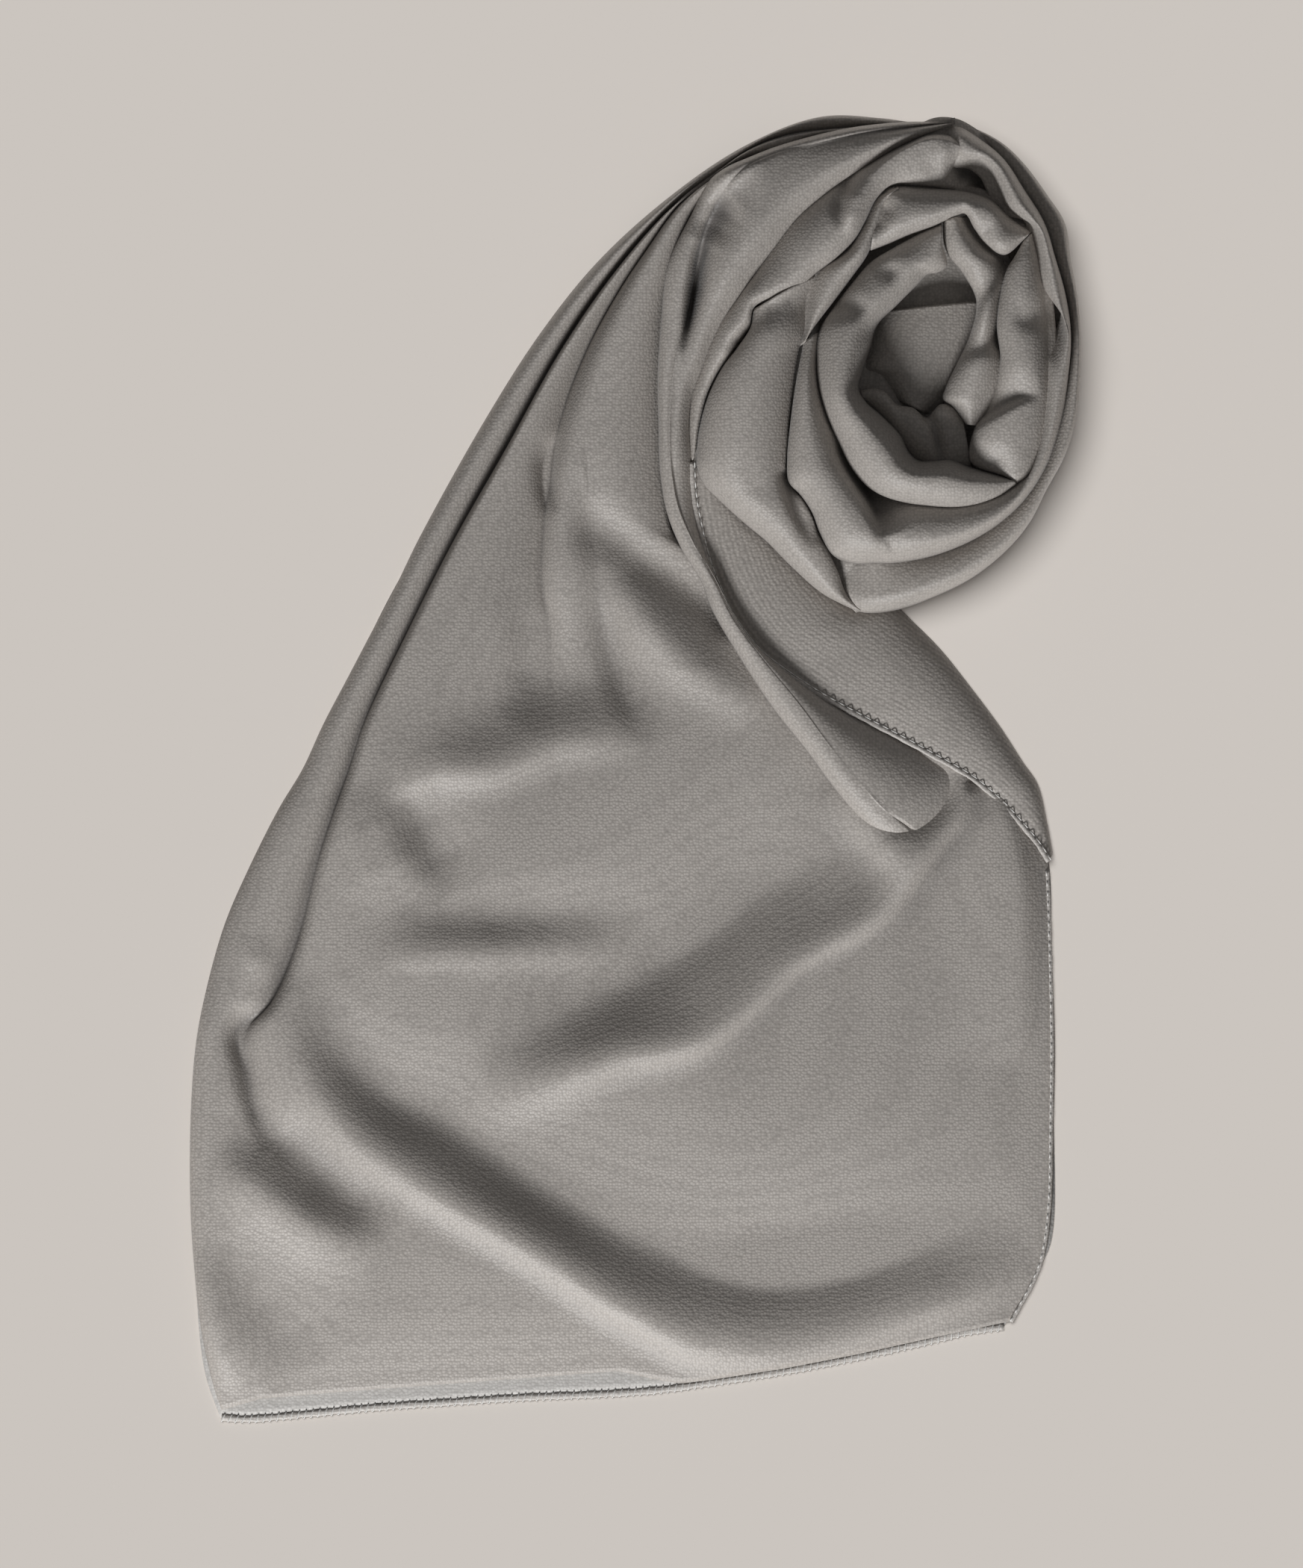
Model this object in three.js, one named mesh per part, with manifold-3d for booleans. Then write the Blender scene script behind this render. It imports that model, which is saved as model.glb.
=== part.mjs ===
// A georgette scarf laid on a table, in millimetres. It is folded in half along its length.
// One end is fanned out flat. The rest is gathered, swept up and wound into a loose coil.
// X runs to the right, Y away from the reader and Z up. The cloth rests on Z = 0.
import * as THREE from "three";
import { mergeVertices } from "three/addons/utils/BufferGeometryUtils.js";
import Module from "manifold-3d";

const wasm = await Module();
wasm.setup();

// Driving dimensions of the cloth
const CLOTH_WALL = 1.2;
const SEAM_GAP = 0.3;
const HEM_WIDTH = 2.2;
const HEM_THICKNESS = 1.6;

// Room beside a hem that lies in a seam
const HEM_SEAT = HEM_WIDTH / 2 + 2 * SEAM_GAP;

// Top of the layer that lies on the table, and the lowest that other cloth reaches above it
const UNDERLAYER_TOP = 1.2;
const TABLE_BED = UNDERLAYER_TOP + SEAM_GAP;

// Middle of the coil in plan, and how high its hidden layers reach
const COIL_MIDDLE = { x: 117, y: 175 };
const CORE_TOP = 21;
const HOLLOW_FLOOR = 17.5;

// Length of one facet along a fold, and facets on each side of its crest
const STEP_ALONG = 9;
const STEPS_TO_CREST = 3;

// Share of the fan's length over which the bow of its bottom edge fades out
const BOW_REACH = 0.12;

// How soon a crease reaches its full height from its ends: 1 is halfway, more is sooner
const CREASE_FADE = 1.6;

// Depth of the prisms that cut a stretch clear of what lies over it, more than twice the height
const CUTTER_DEPTH = 160;

// Colours of the cloth
const CLOTH_COLOUR = 0x9b968f;
const HEM_COLOUR = 0xb4b0aa;

const root = new THREE.Group();
const clothMaterial = new THREE.MeshStandardMaterial({ color: CLOTH_COLOUR, roughness: 0.7 });
const hemMaterial = new THREE.MeshStandardMaterial({ color: HEM_COLOUR, roughness: 0.65 });

// A border of a fold: rows of [x, y, z] joined by a smooth curve, walked by its length
function rail(rows) {
  const points = rows.map(([x, y, z]) => new THREE.Vector3(x, y, z));
  const curve = new THREE.CatmullRomCurve3(points, false, "centripetal");
  curve.arcLengthDivisions = 400;
  return curve;
}

// A value that changes smoothly along a fold, given at evenly spaced places
function along(values, t) {
  const place = t * (values.length - 1);
  const index = Math.min(Math.floor(place), values.length - 2);
  const part = place - index;
  const blend = part * part * (3 - 2 * part);
  return values[index] * (1 - blend) + values[index + 1] * blend;
}

// Signed distance in plan from a line, positive to its right, and the share of the way along it
function fromLine(x, y, line) {
  let nearest = { distance: Infinity, share: 0 };
  line.forEach(([ax, ay], i) => {
    if (i === line.length - 1) return;
    const [bx, by] = line[i + 1];
    const dx = bx - ax;
    const dy = by - ay;
    const raw = ((x - ax) * dx + (y - ay) * dy) / (dx * dx + dy * dy);
    const part = Math.min(1, Math.max(0, raw));
    const offX = x - ax - part * dx;
    const offY = y - ay - part * dy;
    const distance = Math.hypot(offX, offY);
    if (distance < Math.abs(nearest.distance)) {
      const side = offX * dy - offY * dx >= 0 ? 1 : -1;
      nearest = { distance: side * distance, share: (i + part) / (line.length - 1) };
    }
  });
  return nearest;
}

// Soft ridges (height above 0) and troughs (below 0) pressed into a fold
function relief(x, y, creases) {
  let z = 0;
  for (const crease of creases) {
    const { distance, share } = fromLine(x, y, crease.line);
    const width = distance < 0 ? crease.left : crease.right;
    const fade = Math.min(1, CREASE_FADE * Math.sin(Math.PI * share));
    z += crease.height * fade * Math.exp(-((distance / width) ** 2));
  }
  return z;
}

// Sample places across one fold, from its left rail over the crest to its right rail
function profile(fold, steps) {
  const places = [];
  for (let i = 0; i <= 2 * steps; i++) {
    const onLeft = i <= steps;
    const angle = ((onLeft ? i : 2 * steps - i) / steps) * (Math.PI / 2);
    const roll = onLeft ? fold.rollLeft : fold.rollRight;
    const even = angle / (Math.PI / 2);
    const reach = even + (1 - Math.cos(angle) - even) * roll;
    const share = onLeft ? fold.crestAt * reach : 1 - (1 - fold.crestAt) * reach;
    places.push({ onLeft, share, rise: Math.sin(angle) });
  }
  return places;
}

// The upper face of a stretch of cloth, as rows of points. Neighbouring rails hold one fold each.
function face(stretch) {
  const length = Math.max(...stretch.rails.map((curve) => curve.getLength()));
  const rows = Math.max(3, Math.round(length / (stretch.step ?? STEP_ALONG)));
  const grid = [];
  for (let r = 0; r <= rows; r++) {
    const t = r / rows;
    const ends = stretch.rails.map((curve) => curve.getPointAt(t));
    const leftGap = stretch.insetLeft ? stretch.insetLeft(t) : SEAM_GAP;
    const rightGap = stretch.insetRight ? stretch.insetRight(t) : SEAM_GAP;
    const row = [];
    stretch.folds.forEach((fold, k) => {
      const left = ends[k];
      const right = ends[k + 1];
      const width = Math.hypot(right.x - left.x, right.y - left.y);
      const crest = along(fold.crest, t);
      for (const place of profile(fold, fold.steps ?? STEPS_TO_CREST)) {
        if (k > 0 && place.share === 0) continue;
        const insetLeft = k === 0 ? leftGap / width : 0;
        const insetRight = k === stretch.folds.length - 1 ? rightGap / width : 0;
        const share = insetLeft + place.share * (1 - insetLeft - insetRight);
        const foot = place.onLeft ? left.z : right.z;
        const point = new THREE.Vector3().lerpVectors(left, right, share);
        point.z = foot + (crest - foot) * place.rise;
        const bowFade = Math.max(0, 1 - t / BOW_REACH) ** 2;
        point.y -= (fold.bow ?? 0) * Math.sin(Math.PI * place.share) * bowFade;
        point.z += relief(point.x, point.y, stretch.creases ?? []);
        point.z = Math.max(point.z, (stretch.bed ?? TABLE_BED) + CLOTH_WALL);
        row.push(point);
      }
    });
    grid.push(row);
  }
  return grid;
}

// The direction square to a face at one of its points, always pointing up
function upright(grid, r, c) {
  const rows = grid.length - 1;
  const last = grid[0].length - 1;
  const rightward = grid[r][Math.min(c + 1, last)].clone().sub(grid[r][Math.max(c - 1, 0)]);
  const onward = grid[Math.min(r + 1, rows)][c].clone().sub(grid[Math.max(r - 1, 0)][c]);
  const normal = rightward.cross(onward).normalize();
  return normal.z < 0 ? normal.negate() : normal;
}

// A closed wall of cloth below a face, no lower than the bed that it lies on
function wallBelow(grid, bed) {
  const rows = grid.length;
  const columns = grid[0].length;
  const positions = [];
  grid.forEach((row) => row.forEach((p) => positions.push(p.x, p.y, p.z)));
  grid.forEach((row, r) =>
    row.forEach((p, c) => {
      const q = p.clone().addScaledVector(upright(grid, r, c), -CLOTH_WALL);
      positions.push(q.x, q.y, Math.max(q.z, bed));
    }),
  );
  const top = (r, c) => r * columns + c;
  const under = (r, c) => rows * columns + r * columns + c;
  const faces = [];
  const quad = (a, b, c, d) => faces.push(a, b, c, a, c, d);
  for (let r = 0; r < rows - 1; r++) {
    for (let c = 0; c < columns - 1; c++) {
      quad(top(r, c), top(r, c + 1), top(r + 1, c + 1), top(r + 1, c));
      quad(under(r, c), under(r + 1, c), under(r + 1, c + 1), under(r, c + 1));
    }
    quad(top(r, 0), top(r + 1, 0), under(r + 1, 0), under(r, 0));
    const e = columns - 1;
    quad(top(r + 1, e), top(r, e), under(r, e), under(r + 1, e));
  }
  for (let c = 0; c < columns - 1; c++) {
    quad(top(0, c + 1), top(0, c), under(0, c), under(0, c + 1));
    const e = rows - 1;
    quad(top(e, c), top(e, c + 1), under(e, c + 1), under(e, c));
  }
  const geometry = new THREE.BufferGeometry();
  geometry.setAttribute("position", new THREE.Float32BufferAttribute(positions, 3));
  geometry.setIndex(faces);
  return geometry;
}

// A three.js geometry as a solid that can be cut, turned right way out if need be
function solidFrom(geometry) {
  const bare = geometry.clone();
  bare.deleteAttribute("normal");
  bare.deleteAttribute("uv");
  const merged = mergeVertices(bare, 1e-4);
  const triVerts = new Uint32Array(merged.index.array);
  const mesh = { numProp: 3, vertProperties: merged.attributes.position.array, triVerts };
  const solid = new wasm.Manifold(new wasm.Mesh(mesh));
  if (solid.volume() > 0) return solid;
  for (let i = 0; i < triVerts.length; i += 3) {
    [triVerts[i + 1], triVerts[i + 2]] = [triVerts[i + 2], triVerts[i + 1]];
  }
  return new wasm.Manifold(new wasm.Mesh(mesh));
}

// A cut solid as a three.js geometry
function geometryFrom(solid) {
  const mesh = solid.getMesh();
  const geometry = new THREE.BufferGeometry();
  geometry.setAttribute("position", new THREE.BufferAttribute(mesh.vertProperties, 3));
  geometry.setIndex(new THREE.BufferAttribute(mesh.triVerts, 1));
  return geometry;
}

// The largest body of a cut solid, without crumbs
function largest(solid) {
  return solid.decompose().reduce((a, b) => (a.volume() > b.volume() ? a : b));
}

// The room that a stretch takes up in plan, with the seam gap round it, from the table upwards
function roomOf(grid) {
  const last = grid[0].length - 1;
  const outline = [];
  grid[0].forEach((p) => outline.push(p));
  grid.slice(1).forEach((row) => outline.push(row[last]));
  grid[grid.length - 1].slice(0, last).reverse().forEach((p) => outline.push(p));
  grid.slice(1, -1).reverse().forEach((row) => outline.push(row[0]));
  const flat = outline.map((p) => new THREE.Vector2(p.x, p.y));
  const turn = THREE.ShapeUtils.area(flat) > 0 ? 1 : -1;
  const grown = flat.map((p, i) => {
    const before = flat[(i + flat.length - 1) % flat.length];
    const after = flat[(i + 1) % flat.length];
    const way = new THREE.Vector2().subVectors(after, before).normalize();
    const outward = new THREE.Vector2(way.y, -way.x).multiplyScalar(turn * 2 * SEAM_GAP);
    return p.clone().add(outward);
  });
  const options = { depth: CUTTER_DEPTH, bevelEnabled: false };
  const prism = new THREE.ExtrudeGeometry(new THREE.Shape(grown), options);
  prism.translate(0, 0, -CUTTER_DEPTH / 2);
  return solidFrom(prism);
}

const faces = {};

function addMesh(name, geometry, material) {
  const mesh = new THREE.Mesh(geometry, material);
  mesh.name = name;
  root.add(mesh);
}

// One stretch of cloth as a named mesh, cut clear of the stretches that lie over it
function addStretch(name, stretch, material = clothMaterial) {
  faces[name] = face(stretch);
  let solid = solidFrom(wallBelow(faces[name], stretch.bed ?? TABLE_BED));
  for (const upper of stretch.under ?? []) solid = solid.subtract(roomOf(faces[upper]));
  addMesh(name, geometryFrom(largest(solid)), material);
}

// Borders between the stretches of cloth, as rows of [x, y, z]. They run from the fanned end up
// over the top and then clockwise round the coil, so the left one is the outer one.
const FAN_EDGE = [
  [-180, -281, 2.7], [-184, -270, 2.7], [-189, -247, 2.7], [-192.3, -218, 2.7], [-194, -192, 2.7],
];
const SIDE_BORDER = [
  [-189, -173, 3], [-174, -165, 4], [-166, -153, 4], [-172, -132, 4], [-171, -117, 4],
  [-158, -103, 4], [-147, -75, 5], [-131, -19, 6], [-114, 26, 7], [-93, 79, 8], [-65, 124, 10],
  [-33, 180, 13], [-8, 214, 17], [16, 241.5, 21], [31, 255, 23], [49, 269, 24], [65, 276, 24],
  [82, 278.6, 22], [106, 279.6, 19], [117, 281.2, 17],
];
const sideOutline = rail([
  [-194, -176, 1.6], [-194, -153, 1.6], [-191.7, -120, 1.6], [-187.5, -97.5, 1.6], [-179.3, -68, 1.6],
  [-169.5, -45, 1.6], [-156.5, -16, 1.6], [-140, 10, 1.6], [-127, 33, 1.6], [-114, 65.5, 1.6],
  [-94.5, 101.5, 1.6], [-65, 153.5, 1.6], [-41, 191, 2], [-16, 222, 4], [16, 250.7, 8],
  [49, 272.5, 13], [81.5, 284.6, 15], [107.6, 283.9, 15], [119, 282.4, 15],
]);
const sideBorder = rail(SIDE_BORDER);
const fanLeft = rail([...FAN_EDGE, ...SIDE_BORDER.slice(0, -2), [92, 278.4, 22]]);
const pleatLine = rail([
  [-30, -271.8, 2.7], [-30, -240, 9], [-28, -200, 10], [-24, -150, 10], [-26, -100, 10], [-30, -50, 10],
  [-33, 0, 10], [-36, 40, 10.5], [-36, 65, 11], [-38.5, 82, 10], [-36, 114, 7], [-28, 150, 7],
  [-16, 180, 11], [-3, 204, 15], [8, 222, 19], [24.5, 248, 24], [49, 264.5, 26], [62, 268.5, 26],
  [75, 274, 25], [92, 277, 24],
]);
const fanRight = rail([
  [162, -240.8, 2.7], [174.5, -221, 2.7], [178, -211, 2.7], [180.5, -192, 2.7], [181.5, -153, 2.7],
  [182, -120, 2.7], [181, -88, 2.7], [179.7, -55, 2.7], [176, -20, 2.7], [160, 5, 2.7],
  [120, 30, 2.7], [80, 55, 3], [48, 74, 5], [29, 92, 8], [16, 103, 9], [11.4, 124, 10],
  [9.8, 150, 12], [9.8, 173, 14], [13, 206, 20], [24.5, 241.6, 24], [34, 252, 25], [60, 262, 26],
  [92, 275.5, 24],
]);
const FLAP_HEM = [
  [180, -38.5, 5], [171, -27.5, 6], [160, -14.5, 7], [146.7, -3, 8], [130.5, 6.2, 8], [114, 15, 8],
  [98, 24.8, 8], [81.5, 34.6, 8], [65, 43, 8], [55.5, 51, 9], [49, 59, 9], [44, 65.5, 10],
  [39, 75.3, 10], [36, 84, 11], [32.6, 94, 12], [28.5, 108, 13], [25, 122, 14], [25, 134, 15],
];
const OVER_THE_TOP = [
  [24, 148.7, 17], [26.2, 163.3, 19], [31, 176.4, 22], [34.5, 188, 25], [41, 198, 28], [49, 212, 32],
  [62, 228.5, 35], [73.5, 243, 37], [90, 254.6, 38], [106, 266, 38], [122, 272, 38],
];
const sweepLeft = rail([
  [121, -42, 8], [114, -32.3, 9], [98, -22.5, 9], [81.5, -4.6, 9], [65, 20, 9], [49, 43, 9],
  [37.5, 64, 9], [28, 80, 9], [20, 94, 10], [13, 111, 10], [10, 140, 12], [10, 173, 15],
  [13, 206, 21], [17, 222, 23], [24.5, 241.6, 25], [31, 254, 26], [49, 264, 27], [62, 268.5, 27],
  [75, 274, 27], [92, 278.5, 27], [119, 281.8, 27], [137, 281, 27],
]);
const sweepRight = rail([...FLAP_HEM.slice(3), ...OVER_THE_TOP, [132.5, 276, 38]]);
const flapHemLine = rail([...FLAP_HEM, [27, 147, 15]]);
const flapFold = rail([
  [182.5, -36, 1.6], [180, -22.5, 1.6], [176, -6.2, 1.6], [169.5, 3.6, 1.6], [160, 18.3, 1.6],
  [146.7, 36.2, 1.6], [133.7, 52.5, 1.6], [122.3, 64, 1.6], [113, 72, 3], [102, 71.5, 5], [95, 72.5, 6],
  [83, 80, 7], [70.5, 91, 8], [59, 102.5, 9], [51, 109.5, 9], [40, 120, 10], [32, 129, 11], [31, 144, 13],
]);
const topTurnOuter = rail([
  [25, 134, 15], ...OVER_THE_TOP, [131, 274.5, 38], [137, 268, 35], [151, 261.5, 31], [159, 255, 29],
  [162.5, 245.5, 28],
]);
const topTurnInner = rail([
  [27, 138, 15], [29.3, 150.3, 17], [37.5, 173, 23], [44, 183, 26], [51, 194, 29], [53.5, 201, 31],
  [68.5, 206.4, 33], [78.2, 215.5, 34], [91.3, 225.3, 35], [99.4, 235, 36], [106, 249, 37],
  [114, 253.6, 37], [124, 251, 35], [137, 250.7, 33], [147, 250.4, 31], [156, 247.4, 29], [160, 243.5, 28],
]);
const coilOutline = rail([
  [136, 281, 20], [147, 279.5, 17], [160, 273, 15], [170, 263.5, 15], [180, 250, 15], [187.5, 238, 15],
  [190, 222, 15], [193, 205, 15], [194.3, 189, 15], [194, 172, 15], [192.3, 153, 15], [187.5, 137, 15],
  [179.5, 122, 14], [172, 107.5, 13], [162, 95.5, 12], [147, 83.5, 11], [130.5, 75.3, 10],
  [114, 69.6, 10], [100, 68.4, 10],
]);
const OUTER_TURN_BORDER = [
  [147, 276.5, 28], [160, 266, 30], [169.5, 252, 30], [178, 238, 30], [183, 222, 30],
  [187.5, 206, 30], [189.7, 189.5, 30], [188.5, 171, 30], [185.8, 153.5, 30], [179.3, 133, 30],
  [170, 118, 29], [159.7, 108, 28], [147, 99.8, 26], [130.5, 93.2, 25], [114, 90, 25],
  [104, 89.8, 25],
];
const outerTurnBorder = rail([[136, 279, 26], ...OUTER_TURN_BORDER]);
const outerTurnOuter = rail([
  [136, 279, 30], ...OUTER_TURN_BORDER, [91.3, 91.6, 26], [84.5, 97, 28], [78.2, 111.2, 30],
  [73.4, 118, 30], [67.5, 125, 30], [66.5, 140.5, 30], [69.5, 163.3, 29], [73.4, 184.5, 27],
]);
const RING_BORDER = [
  [165.6, 122.5, 36], [156.5, 118.7, 37], [146.7, 115, 38], [130.4, 114, 38], [117.4, 116, 37],
  [106, 120.3, 36], [98, 127.5, 35], [89.7, 139, 34], [84.8, 150.3, 33], [80.5, 163.3, 32],
  [79.2, 176.4, 31], [80, 189, 30],
];
const outerTurnInner = rail([
  [136, 276, 38], [139, 267, 36], [153, 261, 33], [160.5, 255.5, 31], [164, 244, 32], [172.8, 236.7, 36],
  [175.5, 225, 38], [177, 212, 38], [178.6, 196, 38], [179.5, 176, 38], [179, 160, 38],
  [176, 140.5, 37], [171.2, 128, 36], ...RING_BORDER,
]);
const ringOuter = rail([
  [166, 123, 34], ...RING_BORDER.slice(1), [90, 205.5, 31],
  [98, 215.5, 32], [104.3, 222, 33], [114, 227, 34], [127, 235, 35], [133, 237.3, 35],
]);
const ringInner = rail([
  [165.6, 126, 33], [156.5, 129.5, 30], [143.5, 132.5, 27], [133.7, 135.6, 25], [124.5, 135.6, 23],
  [117.4, 147, 22], [110.8, 153.5, 22], [102.7, 160, 22], [98, 165.5, 22], [99.4, 173, 23],
  [102.7, 183, 24], [105.3, 192.7, 25], [114, 201, 27], [122.3, 210.6, 29], [129.4, 215.5, 30],
  [135, 219, 31], [134.5, 226, 32],
]);
const arcTop = rail([
  [110, 249, 36], [116, 253.6, 36], [124, 251, 35], [137, 250.7, 33], [147, 250.4, 31],
  [157, 247, 30], [164.5, 238.5, 32], [172, 232.5, 36],
]);
const arcBottom = rail([
  [104.5, 227, 33], [114, 228, 34], [124, 233.4, 35], [134, 238, 36], [143.4, 240.5, 36],
  [150, 230.5, 36], [157, 225, 36], [162, 222.5, 36], [171, 230, 36],
]);
const stripLeft = rail([
  [114, 253.6, 37], [106, 249, 37], [99.4, 235, 36], [91.3, 225.3, 35], [80, 217, 33], [75.5, 203, 31],
  [74, 191, 29], [73.4, 187, 28],
]);
const stripRight = rail([
  [115, 251.5, 37], [109.5, 247, 36], [106, 238, 34], [103, 227, 32], [96, 217, 31], [88, 206, 30],
  [80, 195, 28], [77, 188.5, 27],
]);
const rightFoldOuter = rail([
  [172.8, 233, 36], [175.5, 220, 38], [178.6, 196, 38], [179.5, 176, 38], [179, 160, 38],
  [176, 140.5, 37], [171.2, 128, 36], [166, 124, 34],
]);
const RIGHT_FOLD_BORDER = [
  [161.4, 217, 34], [158.1, 199.2, 34], [157.5, 189.4, 34], [158.8, 176.4, 34],
  [156.5, 165, 33], [151.6, 156.8, 32], [147.4, 149.6, 31],
];
const rightFoldInner = rail([[170.5, 229, 36], ...RIGHT_FOLD_BORDER, [145.5, 134, 28], [163, 127, 32]]);
const innerFoldOuter = rail([
  [145, 239, 36], [150, 230.5, 35], [157.5, 224, 35],
  ...RIGHT_FOLD_BORDER.map(([x, y, z]) => [x - 2 * SEAM_GAP, y, z]),
]);
const innerFoldInner = rail([
  [134.3, 237, 34], [135.8, 222, 31], [140.2, 214, 30], [148.3, 204, 29], [145.7, 189.4, 28],
  [140.2, 176.4, 26], [134, 164, 25], [134.3, 158.4, 24], [138.6, 156.8, 24], [144, 150, 25],
]);
const petalLeft = rail([
  [52.5, 200, 31], [51, 193, 29], [44, 182, 26], [36, 171.5, 22], [31, 160, 19], [27.7, 147, 16],
  [26.7, 134, 14], [29, 125, 13], [37.5, 117.5, 13], [49, 106.8, 13], [57, 99.8, 13],
  [68.5, 88.3, 12], [81.5, 77, 11], [94, 69.6, 10],
]);
const petalRight = rail([
  [78.2, 214.5, 33], [75, 203, 31], [73.4, 189.4, 28], [71.5, 183, 28], [69, 163.3, 28], [66.2, 140.5, 29],
  [66.8, 126, 29], [73, 117.8, 29], [79.9, 108, 28], [83.1, 98, 27], [88, 85, 23], [92.9, 75.3, 17],
  [96, 71, 12],
]);

const hollowLeft = rail([
  [112, 203, 18], [106.5, 193, 18], [104, 183, 18], [103, 176, 18], [108, 166.5, 18], [116, 159, 18],
]);
const hollowRight = rail([
  [146, 206, 18], [146, 190, 20], [142, 178, 20], [138, 170, 20], [132, 161, 20], [127, 157, 18],
]);
const hollowFoldOuter = rail([
  [100, 167, 18], [108, 165, 19], [115, 158, 20], [124, 155.5, 21], [133, 154.5, 22], [141, 157, 22],
]);
const hollowFoldInner = rail([
  [99, 164, 15], [104, 158, 17], [112, 151, 18], [121, 140, 18], [132, 136, 20], [146, 136, 22],
]);

// Middle lines of the hems
const BOTTOM_HEM = [
  [-180.5, -283, 2.4], [-169, -283.5, 2.4], [-147, -281.5, 2.4], [-114, -278, 2.4], [-81.5, -275.7, 2.4],
  [-49, -273.6, 2.4], [-16, -272.4, 2.4], [10, -270.8, 2.4], [33, -267.6, 2.4], [65, -262.6, 2.4],
  [98, -256.2, 2.4], [130, -249, 2.4], [147, -245, 2.4], [161, -243.4, 2.4],
];
const RIGHT_HEM = [
  [164.3, -241, 2.4], [175.5, -222, 2.4], [179, -212, 2.4], [181.8, -192, 2.4], [182.8, -153, 2.4],
  [183, -120, 2.4], [182.2, -88, 2.4], [180.9, -55, 2.4], [180.3, -44, 2.6],
];

// The cloth that lies flat on the table under everything else, a little inside the outline
function addUnderlayer() {
  const right = [
    [162, -239], [173, -219], [178, -205], [181, -150], [180.5, -80], [178, -30], [167, 2],
    [145, 33], [120, 62], [128, 78], [160, 98], [183, 136], [190, 172], [189, 205], [183, 236],
    [165, 264], [140, 276],
  ];
  const left = [
    [105, 279], [83, 279], [52, 268], [18, 246], [-15, 217], [-39, 187], [-63, 149], [-92, 98],
    [-112, 62], [-125, 30], [-138, 7], [-166, -45], [-183, -95], [-190, -150], [-189, -215],
    [-182, -262], [-178, -279],
  ];
  const outline = new THREE.Shape();
  outline.moveTo(-20, -270);
  outline.lineTo(162, -239);
  outline.splineThru(right.slice(1).map(([x, y]) => new THREE.Vector2(x, y)));
  outline.splineThru(left.map(([x, y]) => new THREE.Vector2(x, y)));
  outline.closePath();
  const flat = new THREE.Shape(outline.getSpacedPoints(90));
  const slab = new THREE.ExtrudeGeometry(flat, { depth: UNDERLAYER_TOP, bevelEnabled: false });
  addMesh("underlayer", geometryFrom(solidFrom(slab)), clothMaterial);
}

// The hidden turns of the coil: one rounded solid with its layers showing at the edge
function addCore() {
  const around = 32;
  const border = [
    [0, 77], [15, 78], [30, 84], [45, 95], [60, 102], [75, 108], [90, 106], [105, 113], [120, 112],
    [135, 100], [150, 88], [165, 82], [180, 80], [195, 82], [210, 86], [225, 92], [240, 98],
    [255, 103], [270, 104], [285, 98], [300, 91], [315, 84], [330, 80], [345, 78], [360, 77],
  ];
  const edge = new THREE.SplineCurve(border.map(([, r]) => new THREE.Vector2(r, 0)));
  // Rows are [how far inside the border, height]
  const section = [
    [8, TABLE_BED], [3.6, TABLE_BED + CLOTH_WALL], [2.6, 4], [3.8, 6.6], [6, 7.4], [3.6, 8.4], [3.4, 10.4],
    [6, 12.6], [9, 14], [14, 17], [20, CORE_TOP - 1], [27, CORE_TOP],
  ];
  // Rows are [share of the border's radius, height]
  const bowl = [[0.56, CORE_TOP - 1], [0.5, HOLLOW_FLOOR], [0.2, HOLLOW_FLOOR]];
  const positions = [];
  for (let i = 0; i < around; i++) {
    const angle = (i / around) * 2 * Math.PI;
    const radius = edge.getPoint(i / around).x;
    const outer = section.map(([inset, z]) => [radius - inset, z]);
    const inner = bowl.map(([share, z]) => [share * radius, z]);
    for (const [r, z] of [...outer, ...inner]) {
      positions.push(COIL_MIDDLE.x + r * Math.cos(angle), COIL_MIDDLE.y + r * Math.sin(angle), z);
    }
  }
  const levels = section.length + bowl.length;
  const lowest = positions.length / 3;
  positions.push(COIL_MIDDLE.x, COIL_MIDDLE.y, TABLE_BED, COIL_MIDDLE.x, COIL_MIDDLE.y, HOLLOW_FLOOR);
  const triangles = [];
  for (let i = 0; i < around; i++) {
    const next = (i + 1) % around;
    const at = (k, j) => k * levels + j;
    for (let j = 0; j < levels - 1; j++) {
      triangles.push(at(i, j), at(next, j), at(next, j + 1), at(i, j), at(next, j + 1), at(i, j + 1));
    }
    triangles.push(lowest, at(next, 0), at(i, 0));
    triangles.push(lowest + 1, at(i, levels - 1), at(next, levels - 1));
  }
  const geometry = new THREE.BufferGeometry();
  geometry.setAttribute("position", new THREE.Float32BufferAttribute(positions, 3));
  geometry.setIndex(triangles);
  addMesh("coil_core", geometryFrom(solidFrom(geometry)), clothMaterial);
}

// A narrow rolled hem along a line
function addHem(name, rows, steps) {
  const section = new THREE.Shape();
  section.absarc(0, 0, HEM_THICKNESS / 2, 0, 2 * Math.PI);
  const options = { steps, curveSegments: 3, bevelEnabled: false, extrudePath: rail(rows) };
  const roll = new THREE.ExtrudeGeometry(section, options);
  addMesh(name, geometryFrom(solidFrom(roll)), hemMaterial);
}

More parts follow.
